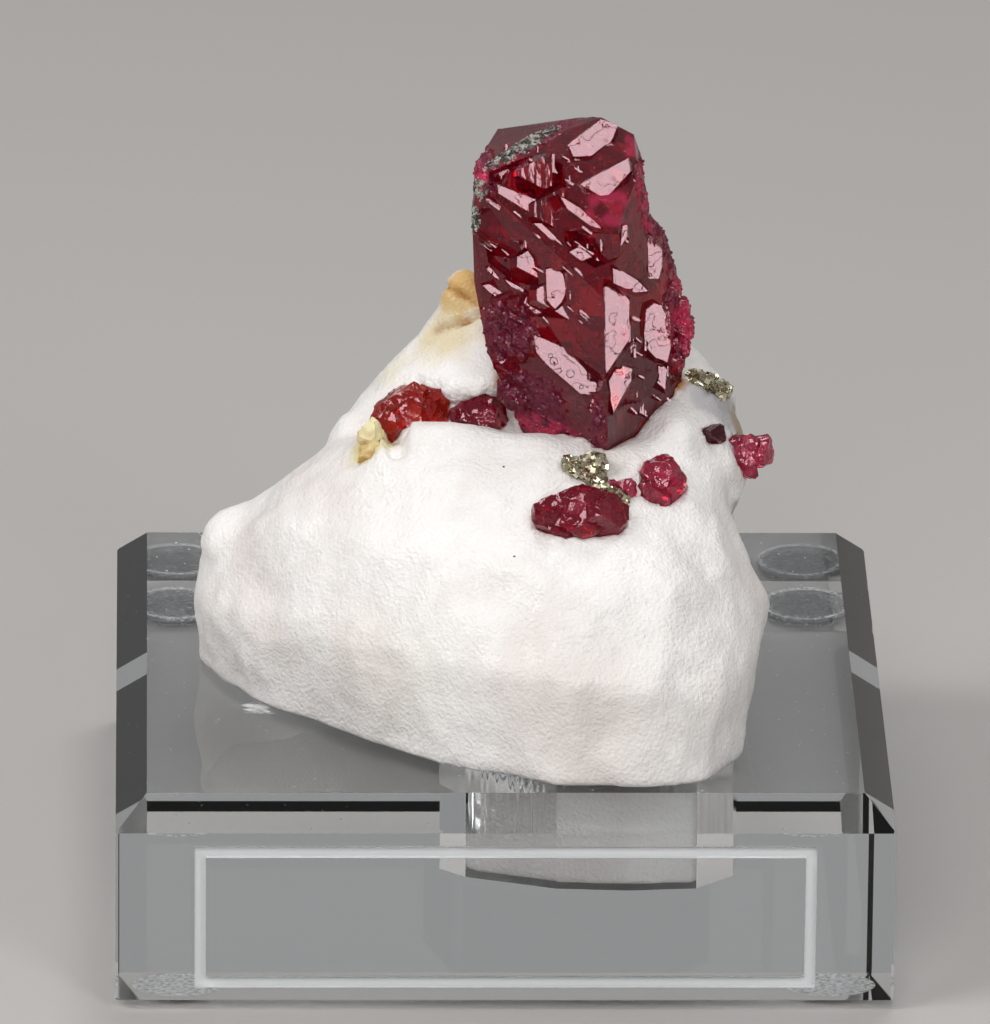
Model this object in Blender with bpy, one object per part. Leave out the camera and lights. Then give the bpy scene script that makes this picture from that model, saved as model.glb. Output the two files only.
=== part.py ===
"""Red spinel crystals on white marble, standing in a clear acrylic display block.

All sizes are in millimetres until a finished mesh is turned to metres. +X is to the
right in the display view, +Y points away from the viewer and +Z is up. The origin is
the middle of the block's footprint on the table.
"""
import itertools
import math
import random

import bmesh
import bpy
import numpy as np
from mathutils import Euler, Matrix, Vector, noise
from mathutils.bvhtree import BVHTree

MM = 0.001
GAP = 0.3
# Past the whole specimen on every side, and a start for a line of sight in front of it
WIDE = 60.0
FAR = 200.0
# How far a cutter passes the face that it opens
PAST = 2.0

# Display block: clear acrylic, square in plan
BLOCK_SIDE = 70.0
BLOCK_THICK = 19.0
BLOCK_CHAMFER = 2.8
FEET_HEIGHT = 1.0
BLOCK_TOP = FEET_HEIGHT + BLOCK_THICK
EDGE_EASE = 0.25

# Engraved border on the front face
BORDER_WIDTH = 55.8
BORDER_LOW = 2.2
BORDER_HIGH = 15.8
BORDER_LINE = 1.0
BORDER_DEPTH = 0.6

# Stick-on feet
FOOT_RADIUS = 4.1
FOOT_FLAT = 3.0
FOOT_INSET = 5.6
FOOT_SIDES = 24
# Rise of the dome: how far inside the widest ring, and how high, each ring lies
FOOT_RINGS = [(0.35, 0.18), (0.0, 0.45)]

# Recess milled in the block's top, in plan, and its floor
RECESS_FLOOR = 10.5
RECESS_WALL = 0.4
# How far the foot in the recess reaches up into the marble
FOOT_ROOT = 6.0
RECESS_OUTLINE = [
    (-5.8, -22.6), (-3.5, -25.6), (4.6, -29.9), (11.0, -30.6), (17.2, -29.8),
    (20.6, -25.2), (21.3, -15.0), (17.0, -7.0), (6.0, -4.5), (-3.0, -10.0),
]

# Marble: lumps given by their outer corners
MARBLE_VOXEL = 0.7
MARBLE_TRIANGLES = 2600
MARBLE_ROUNDING = 9
# Waves on its surface: how many to a millimetre, and how deep
COARSE_WAVE = (0.16, 0.70)
FINE_WAVE = (0.45, 0.22)
FINE_SHIFT = Vector((7, 3, 1))
FRONT_LOBE = [
    (-27.4, -1.2, 19.0), (-26.2, -5.2, 19.0), (-22.8, -10.3, 19.0), (-15.9, -17.3, 19.0),
    (-9.6, -23.6, 19.0), (-4.6, -26.8, 19.0), (5.0, -31.6, 19.0), (12.0, -32.0, 19.0),
    (17.6, -31.0, 19.0), (20.6, -25.6, 19.0), (21.4, -20.7, 19.0), (21.0, -13.0, 19.0),
    (-28.1, 0.0, 26.0), (-27.3, -5.2, 27.0), (-23.6, -11.4, 28.0), (-16.4, -18.4, 29.0),
    (-8.8, -25.0, 30.0), (-1.0, -29.4, 30.5), (6.0, -31.6, 30.0), (14.0, -31.6, 29.5),
    (19.8, -27.9, 28.0), (22.2, -20.5, 28.0), (24.3, -14.0, 31.4), (23.0, -11.0, 33.4),
    (-27.4, 2.5, 30.6), (-25.4, 1.5, 33.6), (-21.8, -6.4, 36.2), (-15.2, -13.2, 38.0),
    (-7.0, -19.8, 38.4), (1.0, -23.6, 38.4), (8.0, -25.9, 37.2), (15.2, -24.8, 36.6),
    (20.4, -18.0, 36.0), (22.0, -10.0, 35.4),
    (-20.8, 2.0, 36.6), (-15.8, -1.0, 41.2), (-12.8, -4.6, 44.0), (-9.6, -7.6, 45.8),
    (-5.0, -9.0, 46.7), (0.4, -10.0, 46.4), (5.6, -12.2, 45.2), (9.4, -13.2, 44.2),
    (14.0, -10.5, 44.2), (18.2, -7.0, 43.6),
    (20.0, 3.0, 19.0), (12.0, 9.0, 19.0), (-5.0, 13.0, 19.0), (-18.0, 12.0, 19.0),
    (-27.0, 6.0, 19.0), (-10.0, 6.0, 40.0), (16.0, 4.0, 38.0),
]
BACK_RIDGE = [
    (-15.4, 4.0, 39.0), (-13.6, 5.5, 43.2), (-9.4, 6.8, 45.8),
    (-6.4, 7.0, 48.2), (-3.0, 9.0, 53.4), (2.0, 10.5, 53.6), (8.0, 11.5, 51.6),
    (14.0, 9.5, 49.8), (17.8, 5.5, 48.2), (20.8, 4.5, 46.0), (22.0, 3.0, 44.8),
    (-12.0, 0.5, 43.8), (-6.0, -1.6, 47.0), (-2.0, -2.6, 47.8), (3.0, -3.0, 48.4),
    (17.0, -2.6, 48.0), (-17.0, 13.0, 26.0), (-13.0, 15.0, 35.0), (-5.0, 16.5, 43.5),
    (6.0, 16.5, 44.0), (16.0, 13.5, 40.0), (21.5, 8.0, 36.0), (-18.0, 14.0, 19.0),
    (-8.0, 18.0, 19.0), (8.0, 17.0, 19.0), (17.0, 12.0, 19.0), (21.5, 5.0, 19.0),
]
RIGHT_SHOULDER = [
    (22.3, 0.5, 43.6), (23.1, -2.0, 39.6), (22.7, -4.0, 38.2), (21.2, -5.0, 36.4),
    (21.2, -7.6, 42.4), (18.0, -6.0, 45.0), (19.0, -1.0, 46.8), (20.8, 3.5, 45.0),
    (15.0, -4.0, 42.0), (15.0, 4.0, 42.0), (19.4, 4.0, 34.0), (18.0, -6.0, 34.0),
]
LEFT_SHOULDER = [
    (-27.2, 4.0, 19.0), (-24.0, 11.0, 19.0), (-16.0, 14.0, 19.0), (-27.0, 5.0, 29.0),
    (-23.5, 10.0, 27.0), (-21.0, 6.0, 34.6), (-15.0, 12.0, 32.0), (-14.0, 4.0, 37.0),
]
# Rounded knobs: centre, and half sizes
KNOBS = [
    ((-3.4, 7.6, 52.6), (2.0, 2.4, 2.7)),
    ((-1.8, 6.0, 51.0), (2.2, 2.2, 2.4)),
    ((-5.2, 7.0, 49.2), (1.8, 2.4, 2.2)),
    ((-13.2, 2.0, 41.2), (2.4, 3.0, 2.0)),
    ((-24.2, 0.0, 31.6), (3.4, 3.6, 3.0)),
    ((22.2, -13.0, 30.6), (2.2, 3.0, 2.6)),
    ((-10.0, 14.0, 30.0), (9.0, 4.5, 8.0)),
    ((12.0, 13.0, 30.0), (8.0, 4.0, 9.0)),
    ((15.6, -4.8, 43.4), (3.4, 4.6, 3.3)),
]

# Display view: straight lines of sight, turned and tipped as the specimen is shown
VIEW_TURN = math.radians(-1.37)
VIEW_TIP = math.radians(21.15)
VIEW_ROLL = math.radians(0.55)
VIEW_CENTRE = Vector((-0.42, 1.53, 33.94))

# Large spinel: the lattice is set by one bright face and one edge, in view axes
BRIGHT_FACE = (0.22, 0.08, 0.972)
HOLLOW_FACE = (-0.50, -0.30, 0.81)
# Foot of a growth block: how far outside its face, and how deep in the core
SKIRT = 0.55
FOOT_DEPTH = 0.8
# Share of the highest corner in a growth face's level, and the opening in front of it
HIGH_SHARE = 0.25
CLEAR_REACH = 9.0
CLEAR_SPREAD = 2.6
# In front of the core, from where its nearest point to a line of sight is found
CORE_FRONT = 12.0
CORE_CORNERS = [
    (3.0, -3.0, 41.0), (9.4, -9.4, 41.0), (14.0, -2.4, 41.0), (7.0, 4.6, 41.0),
    (0.9, -4.0, 46.4), (9.4, -10.9, 45.0), (16.2, -1.6, 47.0), (6.4, 7.0, 46.0),
    (-1.4, -3.8, 51.6), (9.4, -11.0, 52.0), (16.8, -0.6, 51.8), (5.4, 8.4, 52.0),
    (-2.6, -3.2, 58.0), (9.2, -10.6, 59.0), (16.0, -0.4, 57.0), (4.6, 8.4, 58.0),
    (-2.9, -3.6, 65.0), (10.2, -9.6, 66.0), (13.9, -0.4, 65.0), (4.0, 7.8, 64.0),
    (-2.5, -2.6, 69.3), (-0.4, 6.0, 69.5), (6.9, 4.4, 71.2), (8.9, 2.5, 71.9),
    (11.8, 1.0, 70.8), (-2.3, -4.2, 68.0), (5.2, -3.8, 70.2), (12.0, -5.0, 69.0),
]
# Bright growth faces: outline across and up in the display view, and how far they stand out
GROWTH_FACES = {
    "pitted_face": ([(6.6, 33.2), (9.6, 35.5), (11.1, 35.0), (10.6, 33.7), (8.7, 32.2),
                     (7.1, 32.1)], 0.1),
    "block_top": ([(7.7, 29.5), (12.0, 31.9), (12.2, 30.7), (10.3, 28.6), (9.5, 28.5)], 0.7),
    "upper_strip": ([(0.2, 29.5), (3.8, 28.1), (5.2, 27.2), (5.0, 26.6), (3.8, 26.6),
                     (0.3, 28.7)], 0.35),
    "upper_sliver": ([(5.9, 28.4), (7.6, 27.4), (9.7, 25.5), (8.7, 25.7), (6.5, 27.3)], 0.5),
    "left_splinter": ([(-0.8, 28.4), (0.6, 27.5), (0.4, 27.2), (-0.8, 28.0)], 0.15),
    "stepped_chain": ([(3.5, 26.0), (4.2, 26.0), (6.0, 24.3), (5.0, 24.6)], 0.15),
    "small_tile": ([(6.7, 23.4), (7.6, 23.9), (8.7, 23.0), (7.8, 22.6)], 0.2),
    "upright_lens": ([(4.6, 21.9), (6.3, 21.6), (6.4, 20.2), (6.0, 18.9), (5.4, 18.3),
                      (4.7, 19.1)], 0.2),
    "left_tile": ([(2.6, 18.9), (3.0, 19.7), (4.4, 19.3), (5.0, 18.2), (3.6, 17.9)], 0.3),
    "left_bar": ([(-1.1, 20.5), (-0.5, 20.6), (0.7, 19.8), (1.7, 18.6), (0.8, 18.9),
                  (-0.5, 19.9)], 0.15),
    "left_bar_upper": ([(0.9, 21.0), (2.9, 20.0), (2.7, 19.8), (1.4, 20.4)], 0.15),
    "left_bar_top": ([(-0.5, 22.2), (0.5, 21.0), (0.0, 21.2), (-0.8, 22.0)], 0.15),
    "right_shelf": ([(10.6, 22.1), (11.8, 21.2), (12.8, 20.9), (13.8, 19.9), (12.6, 19.8),
                     (10.7, 20.6)], 0.8),
    "tall_facet": ([(9.9, 20.6), (11.0, 19.6), (12.1, 19.1), (12.1, 15.6), (10.8, 14.0),
                    (10.0, 12.4)], 0.1),
    "lower_facet": ([(10.3, 11.8), (10.9, 12.9), (12.4, 12.9), (12.3, 11.9), (10.7, 9.0)], 0.1),
    "right_facet": ([(13.7, 18.3), (14.4, 18.9), (15.7, 18.5), (15.9, 17.7), (15.9, 14.8),
                     (15.6, 13.6), (14.5, 14.0), (13.5, 16.1)], 0.15),
    "right_sliver": ([(14.8, 13.2), (15.6, 12.9), (15.4, 11.0), (14.9, 12.2)], 0.1),
    "right_strip": ([(13.8, 25.2), (14.4, 24.8), (15.1, 23.6), (15.1, 22.2), (14.8, 21.1),
                     (13.9, 21.1)], 0.15),
    "right_chip": ([(16.2, 20.9), (16.5, 20.6), (15.9, 19.2), (15.4, 18.9), (15.4, 19.7)], 0.15),
    "large_strip": ([(3.5, 16.0), (7.4, 13.8), (9.4, 11.9), (9.2, 10.9), (7.7, 10.7),
                     (4.6, 13.4), (3.7, 14.5)], 0.2),
    "tip_lozenge": ([(8.9, 10.5), (9.7, 9.1), (9.3, 7.9), (8.5, 9.3)], 0.1),
    "lower_splinter": ([(5.2, 10.8), (6.5, 10.0), (6.2, 9.8), (5.1, 10.6)], 0.15),
    "rim_sliver": ([(11.5, 25.8), (11.9, 25.8), (11.9, 24.8), (11.3, 23.9)], 0.4),
}
# Hollows between the growth faces, as outlines in the display view and their depth
HOLLOWS = {
    "concave_face": ([(0.5, 30.6), (4.8, 33.0), (6.1, 31.6), (6.0, 28.6), (5.2, 27.7),
                      (0.7, 29.7)], 1.6),
    "dark_panel": ([(-0.6, 24.0), (2.3, 24.3), (3.5, 22.8), (3.7, 20.6), (1.4, 21.2),
                    (-0.4, 22.6)], 0.8),
    "under_block": ([(6.6, 25.2), (11.0, 25.0), (12.6, 23.4), (9.0, 22.4), (6.8, 24.2)], 0.9),
}
# Step in the right flank, cut straight back in the display view, and how far it reaches
FLANK_STEP = [(13.2, 35.5), (13.5, 27.3), (15.4, 25.4), (20.0, 23.5), (20.0, 35.5)]
FLANK_REACH = 16.0
# Parallel steps on the faces that the display view hides: their number, the turns and
# heights between which they lie, the axis they surround and their half sizes
BACK_BLOCKS = 26
BACK_TURNS = (25.0, 255.0)
BACK_HEIGHTS = (48.0, 69.0)
BACK_AXIS = (6.6, -1.2)
BACK_SIZES = (2.2, 4.4)
# How far they stand out, how unlike their half sizes are, and how far in a face may lie
BACK_RISE = 0.9
BACK_STRETCH = (0.8, 1.2)
BACK_SKEW = (0.80, 1.0)
BACK_CUT = 0.74
# Lumps along the right edge: their number, place in the display view and half sizes
EDGE_LUMPS = 16
EDGE_ACROSS = 16.1
EDGE_UP = (13.4, 21.8)
EDGE_SIZES = (1.0, 1.6)
# They sway sideways by this much, each at a further angle, in rows from front to back
EDGE_SWAY = 0.5
EDGE_ANGLE = 2.4
EDGE_FRONT = 9.0
EDGE_ROW = 2.4
EDGE_ROWS = 3
EDGE_CUT = 0.78
# Lumps on the rough lower left, in the same way
LEFT_LUMPS = 12
LEFT_ACROSS = (0.6, 2.8)
LEFT_UP = (9.4, 19.2)
LEFT_SIZES = (0.9, 1.6)
LEFT_DEPTH = 0.5
LEFT_CUT = 0.76
# Step that spreads repeated things evenly without a pattern
GOLDEN_STEP = 0.618

# Share of an octahedron's reach at which a small crystal's points are cut off
SMALL_CUT = 0.76

# Small crystals: where the display view shows them (across, up), how deep they sit, and
# blocks as (shift across, shift up, shift towards the viewer, half sizes, turn in degrees)
SMALL_CRYSTALS = {
    "left_spinel": (-7.9, 9.0, 0.3, [
        (0.0, 0.0, 0.0, (3.2, 2.9, 2.9), (20, 10, 24)),
        (1.9, 0.5, -0.3, (2.4, 2.0, 2.1), (48, 8, 60)),
        (-1.2, -0.9, 0.2, (2.3, 2.3, 2.2), (5, 38, 12)),
        (-1.7, -1.2, 2.7, (1.4, 2.1, 1.5), (10, 5, 20))]),
    "left_inner_spinel": (-1.2, 8.7, 0.2, [
        (0.0, 0.1, 0.0, (2.7, 2.1, 2.2), (15, 12, 30)),
        (-1.2, -0.2, 0.3, (1.9, 1.5, 1.5), (60, 20, 10))]),
    "front_spinel": (7.7, -0.3, 0.1, [
        (0.0, 0.2, 0.0, (4.3, 2.7, 2.9), (12, 4, 8)),
        (-1.9, -0.3, 0.0, (3.0, 2.2, 2.3), (40, 14, 50)),
        (1.8, -0.1, 0.1, (3.1, 2.3, 2.3), (24, 30, 76))]),
    "tiny_pink_spinel": (11.5, 2.1, 0.0, [
        (0.2, 0.0, 0.0, (1.2, 1.1, 1.1), (20, 30, 10)),
        (-0.7, 0.1, 0.0, (0.8, 0.8, 0.8), (50, 10, 40))]),
    "right_pink_spinel": (15.0, 2.5, -0.3, [
        (0.2, 0.9, 0.0, (2.1, 1.9, 2.0), (34, 24, 14)),
        (-0.6, -0.9, 0.3, (1.9, 1.6, 1.7), (10, 44, 60)),
        (0.8, -0.3, 0.2, (1.6, 1.5, 1.5), (70, 12, 30))]),
    "far_right_spinel": (22.5, 5.3, 0.0, [
        (0.0, 0.0, 0.2, (1.6, 1.9, 1.8), (28, 20, 40)),
        (1.3, 0.2, -0.3, (1.7, 1.8, 1.8), (8, 36, 10)),
        (0.7, -1.5, 0.3, (0.9, 0.8, 0.9), (40, 0, 60)),
        (-0.9, 0.1, 0.4, (1.3, 1.7, 1.5), (5, 15, 25))]),
    "dark_right_spinel": (20.1, 7.1, 0.2, [
        (0.0, 0.0, 0.0, (1.2, 1.0, 1.0), (24, 18, 50)),
        (-0.6, -0.1, 0.1, (0.8, 0.7, 0.8), (60, 30, 0))]),
}
# Grains: where the display view shows them, how deep they sit, lumps as above
GRAINS = {
    "pyrite_front": (8.2, 3.8, -0.1, [
        (0.0, 0.0, 0.0, (1.7, 1.2, 1.3), (10, 20, 30)),
        (-1.2, 0.3, 0.0, (1.2, 0.9, 1.0), (50, 10, 70)),
        (0.9, 0.6, 0.0, (1.1, 1.0, 0.9), (35, 45, 5)),
        (0.8, -0.8, 0.1, (1.1, 0.8, 0.9), (75, 15, 20))]),
    "pyrite_lower": (10.5, 1.6, 0.0, [
        (-0.9, 0.4, 0.0, (0.9, 0.7, 0.7), (20, 30, 10)),
        (0.1, 0.0, 0.0, (1.0, 0.7, 0.7), (60, 10, 40)),
        (0.9, -0.5, 0.0, (0.9, 0.6, 0.7), (30, 50, 70))]),
    "pyrite_right": (19.5, 11.5, -0.1, [
        (-1.2, 0.6, 0.0, (1.1, 0.8, 0.9), (30, 10, 20)),
        (0.0, 0.2, 0.0, (1.3, 0.8, 0.9), (10, 40, 60)),
        (1.2, -0.4, 0.0, (1.1, 0.7, 0.8), (55, 25, 45))]),
    "yellow_grain": (-11.3, 6.3, 0.0, [
        (0.0, 0.7, 0.0, (1.2, 1.6, 1.1), (12, 6, 20)),
        (-0.1, -0.9, 0.0, (1.0, 1.4, 1.0), (30, 12, 50))]),
}

# Crystals that grew against others, and the ones that keep their shape there
GROWN_AGAINST = {
    "large_spinel": ["left_inner_spinel", "pyrite_front"],
    "left_spinel": ["yellow_grain", "left_inner_spinel"],
    "front_spinel": ["pyrite_lower", "tiny_pink_spinel", "pyrite_front"],
    "tiny_pink_spinel": ["pyrite_lower"],
    "far_right_spinel": ["dark_right_spinel"],
}

# Plain colours for a quick look: linear red, green, blue, then roughness, metallic, clearness
COLOURS = {
    "acrylic": ((0.85, 0.90, 0.92), 0.05, 0.0, 1.0),
    "foot": ((0.80, 0.82, 0.84), 0.25, 0.0, 0.6),
    "marble": ((0.80, 0.76, 0.72), 0.55, 0.0, 0.0),
    "spinel_dark": ((0.16, 0.002, 0.012), 0.10, 0.0, 0.7),
    "spinel_red": ((0.45, 0.01, 0.03), 0.12, 0.0, 0.6),
    "spinel_pink": ((0.55, 0.05, 0.14), 0.15, 0.0, 0.5),
    "pyrite": ((0.42, 0.36, 0.20), 0.32, 1.0, 0.0),
    "yellow": ((0.62, 0.42, 0.10), 0.45, 0.0, 0.0),
}

# Which of those each crystal and grain has
PIECE_COLOURS = {
    "large_spinel": "spinel_dark",
    "left_spinel": "spinel_red",
    "left_inner_spinel": "spinel_red",
    "front_spinel": "spinel_red",
    "tiny_pink_spinel": "spinel_pink",
    "right_pink_spinel": "spinel_pink",
    "far_right_spinel": "spinel_pink",
    "dark_right_spinel": "spinel_dark",
    "pyrite_front": "pyrite",
    "pyrite_lower": "pyrite",
    "pyrite_right": "pyrite",
    "yellow_grain": "yellow",
}


def clear_scene():
    """Remove every object that the file starts with."""
    for obj in list(bpy.data.objects):
        bpy.data.objects.remove(obj, do_unlink=True)


def between(ends, share):
    """The value a share of the way from the first end to the second."""
    return ends[0] + (ends[1] - ends[0]) * share


def view_axes():
    """Right, up and towards the viewer, as unit vectors of the display view."""
    toward = Vector((math.sin(VIEW_TURN) * math.cos(VIEW_TIP),
                     -math.cos(VIEW_TURN) * math.cos(VIEW_TIP),
                     math.sin(VIEW_TIP)))
    level = Vector((0, 0, 1)).cross(toward).normalized()
    upright = toward.cross(level)
    right = math.cos(VIEW_ROLL) * level + math.sin(VIEW_ROLL) * upright
    up = math.cos(VIEW_ROLL) * upright - math.sin(VIEW_ROLL) * level
    return right, up, toward


RIGHT, UP, TOWARD = view_axes()


def view_point(across, up, toward=0.0):
    """The point that lies so far across and up in the display view."""
    return VIEW_CENTRE + RIGHT * across + UP * up + TOWARD * toward


def view_vector(parts):
    """A direction given along right, up and towards the viewer."""
    return (RIGHT * parts[0] + UP * parts[1] + TOWARD * parts[2]).normalized()


def lattice_axes():
    """Three square axes of the large crystal, from its bright face and an upright edge."""
    face = view_vector(BRIGHT_FACE)
    edge_a = (UP - face * UP.dot(face)).normalized()
    across = edge_a.cross(face)
    edge_b = 0.5 * edge_a + math.sqrt(0.75) * across
    edge_c = -0.5 * edge_a + math.sqrt(0.75) * across
    side = math.sqrt(2.0) / 3.0
    first = face / math.sqrt(3.0) + side * (edge_a + edge_b)
    second = face / math.sqrt(3.0) + side * (edge_c - edge_a)
    third = face / math.sqrt(3.0) - side * (edge_b + edge_c)
    return [first.normalized(), second.normalized(), third.normalized()]


def new_object(name, bm):
    """Put a bmesh into a new object of the scene."""
    mesh = bpy.data.meshes.new(name)
    bm.to_mesh(mesh)
    bm.free()
    obj = bpy.data.objects.new(name, mesh)
    bpy.context.scene.collection.objects.link(obj)
    return obj


def hull_planes(points):
    """Outer planes of the convex body around points, as (normal, distance)."""
    bm = bmesh.new()
    for point in points:
        bm.verts.new(point)
    bmesh.ops.convex_hull(bm, input=bm.verts)
    bm.normal_update()
    middle = sum((Vector(p) for p in points), Vector()) / len(points)
    planes = []
    for face in bm.faces:
        normal = face.normal.copy()
        distance = normal.dot(face.verts[0].co)
        if normal.dot(middle) > distance:
            normal, distance = -normal, -distance
        if not any(normal.dot(n) > 0.9995 and abs(distance - d) < 0.02 for n, d in planes):
            planes.append((normal, distance))
    bm.free()
    return planes


def solid_from_planes(name, planes, grow=0.0):
    """A convex solid inside all the planes, each moved outwards by grow."""
    normals = np.array([tuple(n) for n, _ in planes])
    limits = np.array([d + grow for _, d in planes])
    corners = []
    for trio in itertools.combinations(range(len(planes)), 3):
        rows = normals[list(trio)]
        if abs(np.linalg.det(rows)) < 1e-4:
            continue
        corner = np.linalg.solve(rows, limits[list(trio)])
        inside = np.all(normals @ corner <= limits + 1e-5)
        if inside and all(np.linalg.norm(corner - c) > 0.01 for c in corners):
            corners.append(corner)
    bm = bmesh.new()
    for corner in corners:
        bm.verts.new(corner)
    result = bmesh.ops.convex_hull(bm, input=bm.verts)
    unused = {v for v in result["geom_interior"] + result["geom_unused"]
              if isinstance(v, bmesh.types.BMVert)}
    bmesh.ops.delete(bm, geom=list(unused), context="VERTS")
    bmesh.ops.dissolve_limit(bm, angle_limit=math.radians(0.4), verts=bm.verts, edges=bm.edges)
    bmesh.ops.recalc_face_normals(bm, faces=bm.faces)
    return new_object(name, bm)


def octahedron_planes(centre, halves, axes, cut, skew=None):
    """Planes of an octahedron with its points cut off at the half sizes, and their share kept.

    The whole octahedron would reach 1 / cut times as far; skew moves each face a little.
    """
    planes = []
    for index, signs in enumerate(itertools.product((1, -1), repeat=3)):
        normal = sum((axis * (sign / half) for axis, sign, half in zip(axes, signs, halves)),
                     Vector())
        reach = 1.0 / (normal.length * cut)
        if skew:
            reach *= skew[index]
        normal.normalize()
        planes.append((normal, normal.dot(centre) + reach))
    for axis, half in zip(axes, halves):
        for sign in (1, -1):
            planes.append((axis * sign, (axis * sign).dot(centre) + half))
    return planes


def bake(obj):
    """Keep an object's evaluated mesh and drop its modifiers."""
    depsgraph = bpy.context.evaluated_depsgraph_get()
    mesh = bpy.data.meshes.new_from_object(obj.evaluated_get(depsgraph))
    obj.modifiers.clear()
    obj.data = mesh


def boolean(target, others, operation):
    """Join others to target, or cut them from it, and remove them."""
    group = bpy.data.collections.new("operands")
    bpy.context.scene.collection.children.link(group)
    for other in others:
        group.objects.link(other)
        bpy.context.scene.collection.objects.unlink(other)
    modifier = target.modifiers.new("boolean", "BOOLEAN")
    modifier.operation = operation
    modifier.solver = "EXACT"
    modifier.operand_type = "COLLECTION"
    modifier.collection = group
    bake(target)
    for other in others:
        bpy.data.objects.remove(other, do_unlink=True)
    bpy.data.collections.remove(group)
    return target


def tidy_mesh(obj, merge=0.01):
    """Close tiny edges and dissolve flat seams that a union leaves."""
    bm = bmesh.new()
    bm.from_mesh(obj.data)
    bmesh.ops.remove_doubles(bm, verts=bm.verts, dist=merge)
    bmesh.ops.dissolve_degenerate(bm, edges=bm.edges, dist=merge)
    bmesh.ops.triangulate(bm, faces=bm.faces)
    bmesh.ops.recalc_face_normals(bm, faces=bm.faces)
    bm.to_mesh(obj.data)
    bm.free()


def keep_largest(obj):
    """Drop any loose crumb that a cut leaves beside the main body."""
    bm = bmesh.new()
    bm.from_mesh(obj.data)
    unseen = set(bm.verts)
    groups = []
    while unseen:
        group = {unseen.pop()}
        edge_of_group = list(group)
        while edge_of_group:
            vert = edge_of_group.pop()
            for edge in vert.link_edges:
                other = edge.other_vert(vert)
                if other in unseen:
                    unseen.discard(other)
                    group.add(other)
                    edge_of_group.append(other)
        groups.append(group)
    groups.sort(key=len)
    for group in groups[:-1]:
        bmesh.ops.delete(bm, geom=list(group), context="VERTS")
    bm.to_mesh(obj.data)
    bm.free()


def surface_tree(obj):
    """A search tree of an object's surface."""
    bm = bmesh.new()
    bm.from_mesh(obj.data)
    tree = BVHTree.FromBMesh(bm)
    bm.free()
    return tree


def prism(name, outline, low, high, shrink=0.0):
    """An upright prism over an outline in plan, moved in by shrink."""
    middle = sum((Vector(p) for p in outline), Vector((0, 0))) / len(outline)
    points = []
    for corner in outline:
        arm = Vector(corner) - middle
        arm *= 1.0 - shrink / arm.length
        for height in (low, high):
            points.append((middle.x + arm.x, middle.y + arm.y, height))
    return solid_from_planes(name, hull_planes(points))


def box(name, low, high):
    """An upright box between two corners."""
    bm = bmesh.new()
    bmesh.ops.create_cube(bm, size=1.0)
    for vert in bm.verts:
        for axis in range(3):
            vert.co[axis] = low[axis] if vert.co[axis] < 0 else high[axis]
    return new_object(name, bm)


def make_block():
    """The acrylic block: chamfered top, milled recess and engraved border."""
    half = BLOCK_SIDE / 2
    block = box("base_block", (-half, -half, FEET_HEIGHT), (half, half, BLOCK_TOP))
    bm = bmesh.new()
    bm.from_mesh(block.data)
    top = [e for e in bm.edges if all(v.co.z > BLOCK_TOP - 0.1 for v in e.verts)]
    bmesh.ops.bevel(bm, geom=top, offset=BLOCK_CHAMFER, segments=1, affect="EDGES")
    upright = [e for e in bm.edges
               if abs(e.verts[0].co.z - e.verts[1].co.z) > BLOCK_THICK / 2]
    bmesh.ops.bevel(bm, geom=upright, offset=EDGE_EASE, segments=1, affect="EDGES")
    bm.to_mesh(block.data)
    bm.free()
    recess = prism("recess", RECESS_OUTLINE, RECESS_FLOOR, BLOCK_TOP + PAST)
    wide = BORDER_WIDTH / 2
    inner = wide - BORDER_LINE
    front = -half - PAST
    floor = -half + BORDER_DEPTH
    groove = box("groove", (-wide, front, BORDER_LOW), (wide, floor, BORDER_HIGH))
    panel = box("panel", (-inner, front - PAST, BORDER_LOW + BORDER_LINE),
                (inner, floor + PAST, BORDER_HIGH - BORDER_LINE))
    boolean(groove, [panel], "DIFFERENCE")
    boolean(block, [recess, groove], "DIFFERENCE")
    tidy_mesh(block)
    return block


def make_foot(name, x, y):
    """One clear foot: a low dome standing on its flat end."""
    height = FEET_HEIGHT - GAP
    rings = [(FOOT_FLAT, 0.0)]
    rings += [(FOOT_RADIUS - inset, level) for inset, level in FOOT_RINGS]
    rings.append((FOOT_RADIUS, height))
    bm = bmesh.new()
    loops = []
    for radius, level in rings:
        loop = []
        for step in range(FOOT_SIDES):
            angle = math.tau * step / FOOT_SIDES
            loop.append(bm.verts.new((x + radius * math.cos(angle),
                                      y + radius * math.sin(angle), level)))
        loops.append(loop)
    for lower, upper in zip(loops, loops[1:]):
        for step in range(FOOT_SIDES):
            after = (step + 1) % FOOT_SIDES
            bm.faces.new((lower[step], lower[after], upper[after], upper[step]))
    bm.faces.new(list(reversed(loops[0])))
    bm.faces.new(loops[-1])
    return new_object(name, bm)


def make_knob(centre, halves):
    """A rounded lump of marble."""
    bm = bmesh.new()
    bmesh.ops.create_icosphere(bm, subdivisions=2, radius=1.0)
    for vert in bm.verts:
        vert.co = Vector(centre) + Vector(v * h for v, h in zip(vert.co, halves))
    return new_object("knob", bm)


def join_meshes(name, objects):
    """One object with the meshes of all the others, which are removed."""
    bm = bmesh.new()
    for obj in objects:
        bm.from_mesh(obj.data)
        bpy.data.objects.remove(obj, do_unlink=True)
    return new_object(name, bm)


def roughen(obj):
    """Move each point of the marble in or out by smooth noise, coarse and fine."""
    mesh = obj.data
    moves = []
    for vert in mesh.vertices:
        coarse = noise.noise(vert.co * COARSE_WAVE[0]) * COARSE_WAVE[1]
        fine = noise.noise(vert.co * FINE_WAVE[0] + FINE_SHIFT) * FINE_WAVE[1]
        moves.append(vert.normal * (coarse + fine))
    for vert, move in zip(mesh.vertices, moves):
        vert.co += move


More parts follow.
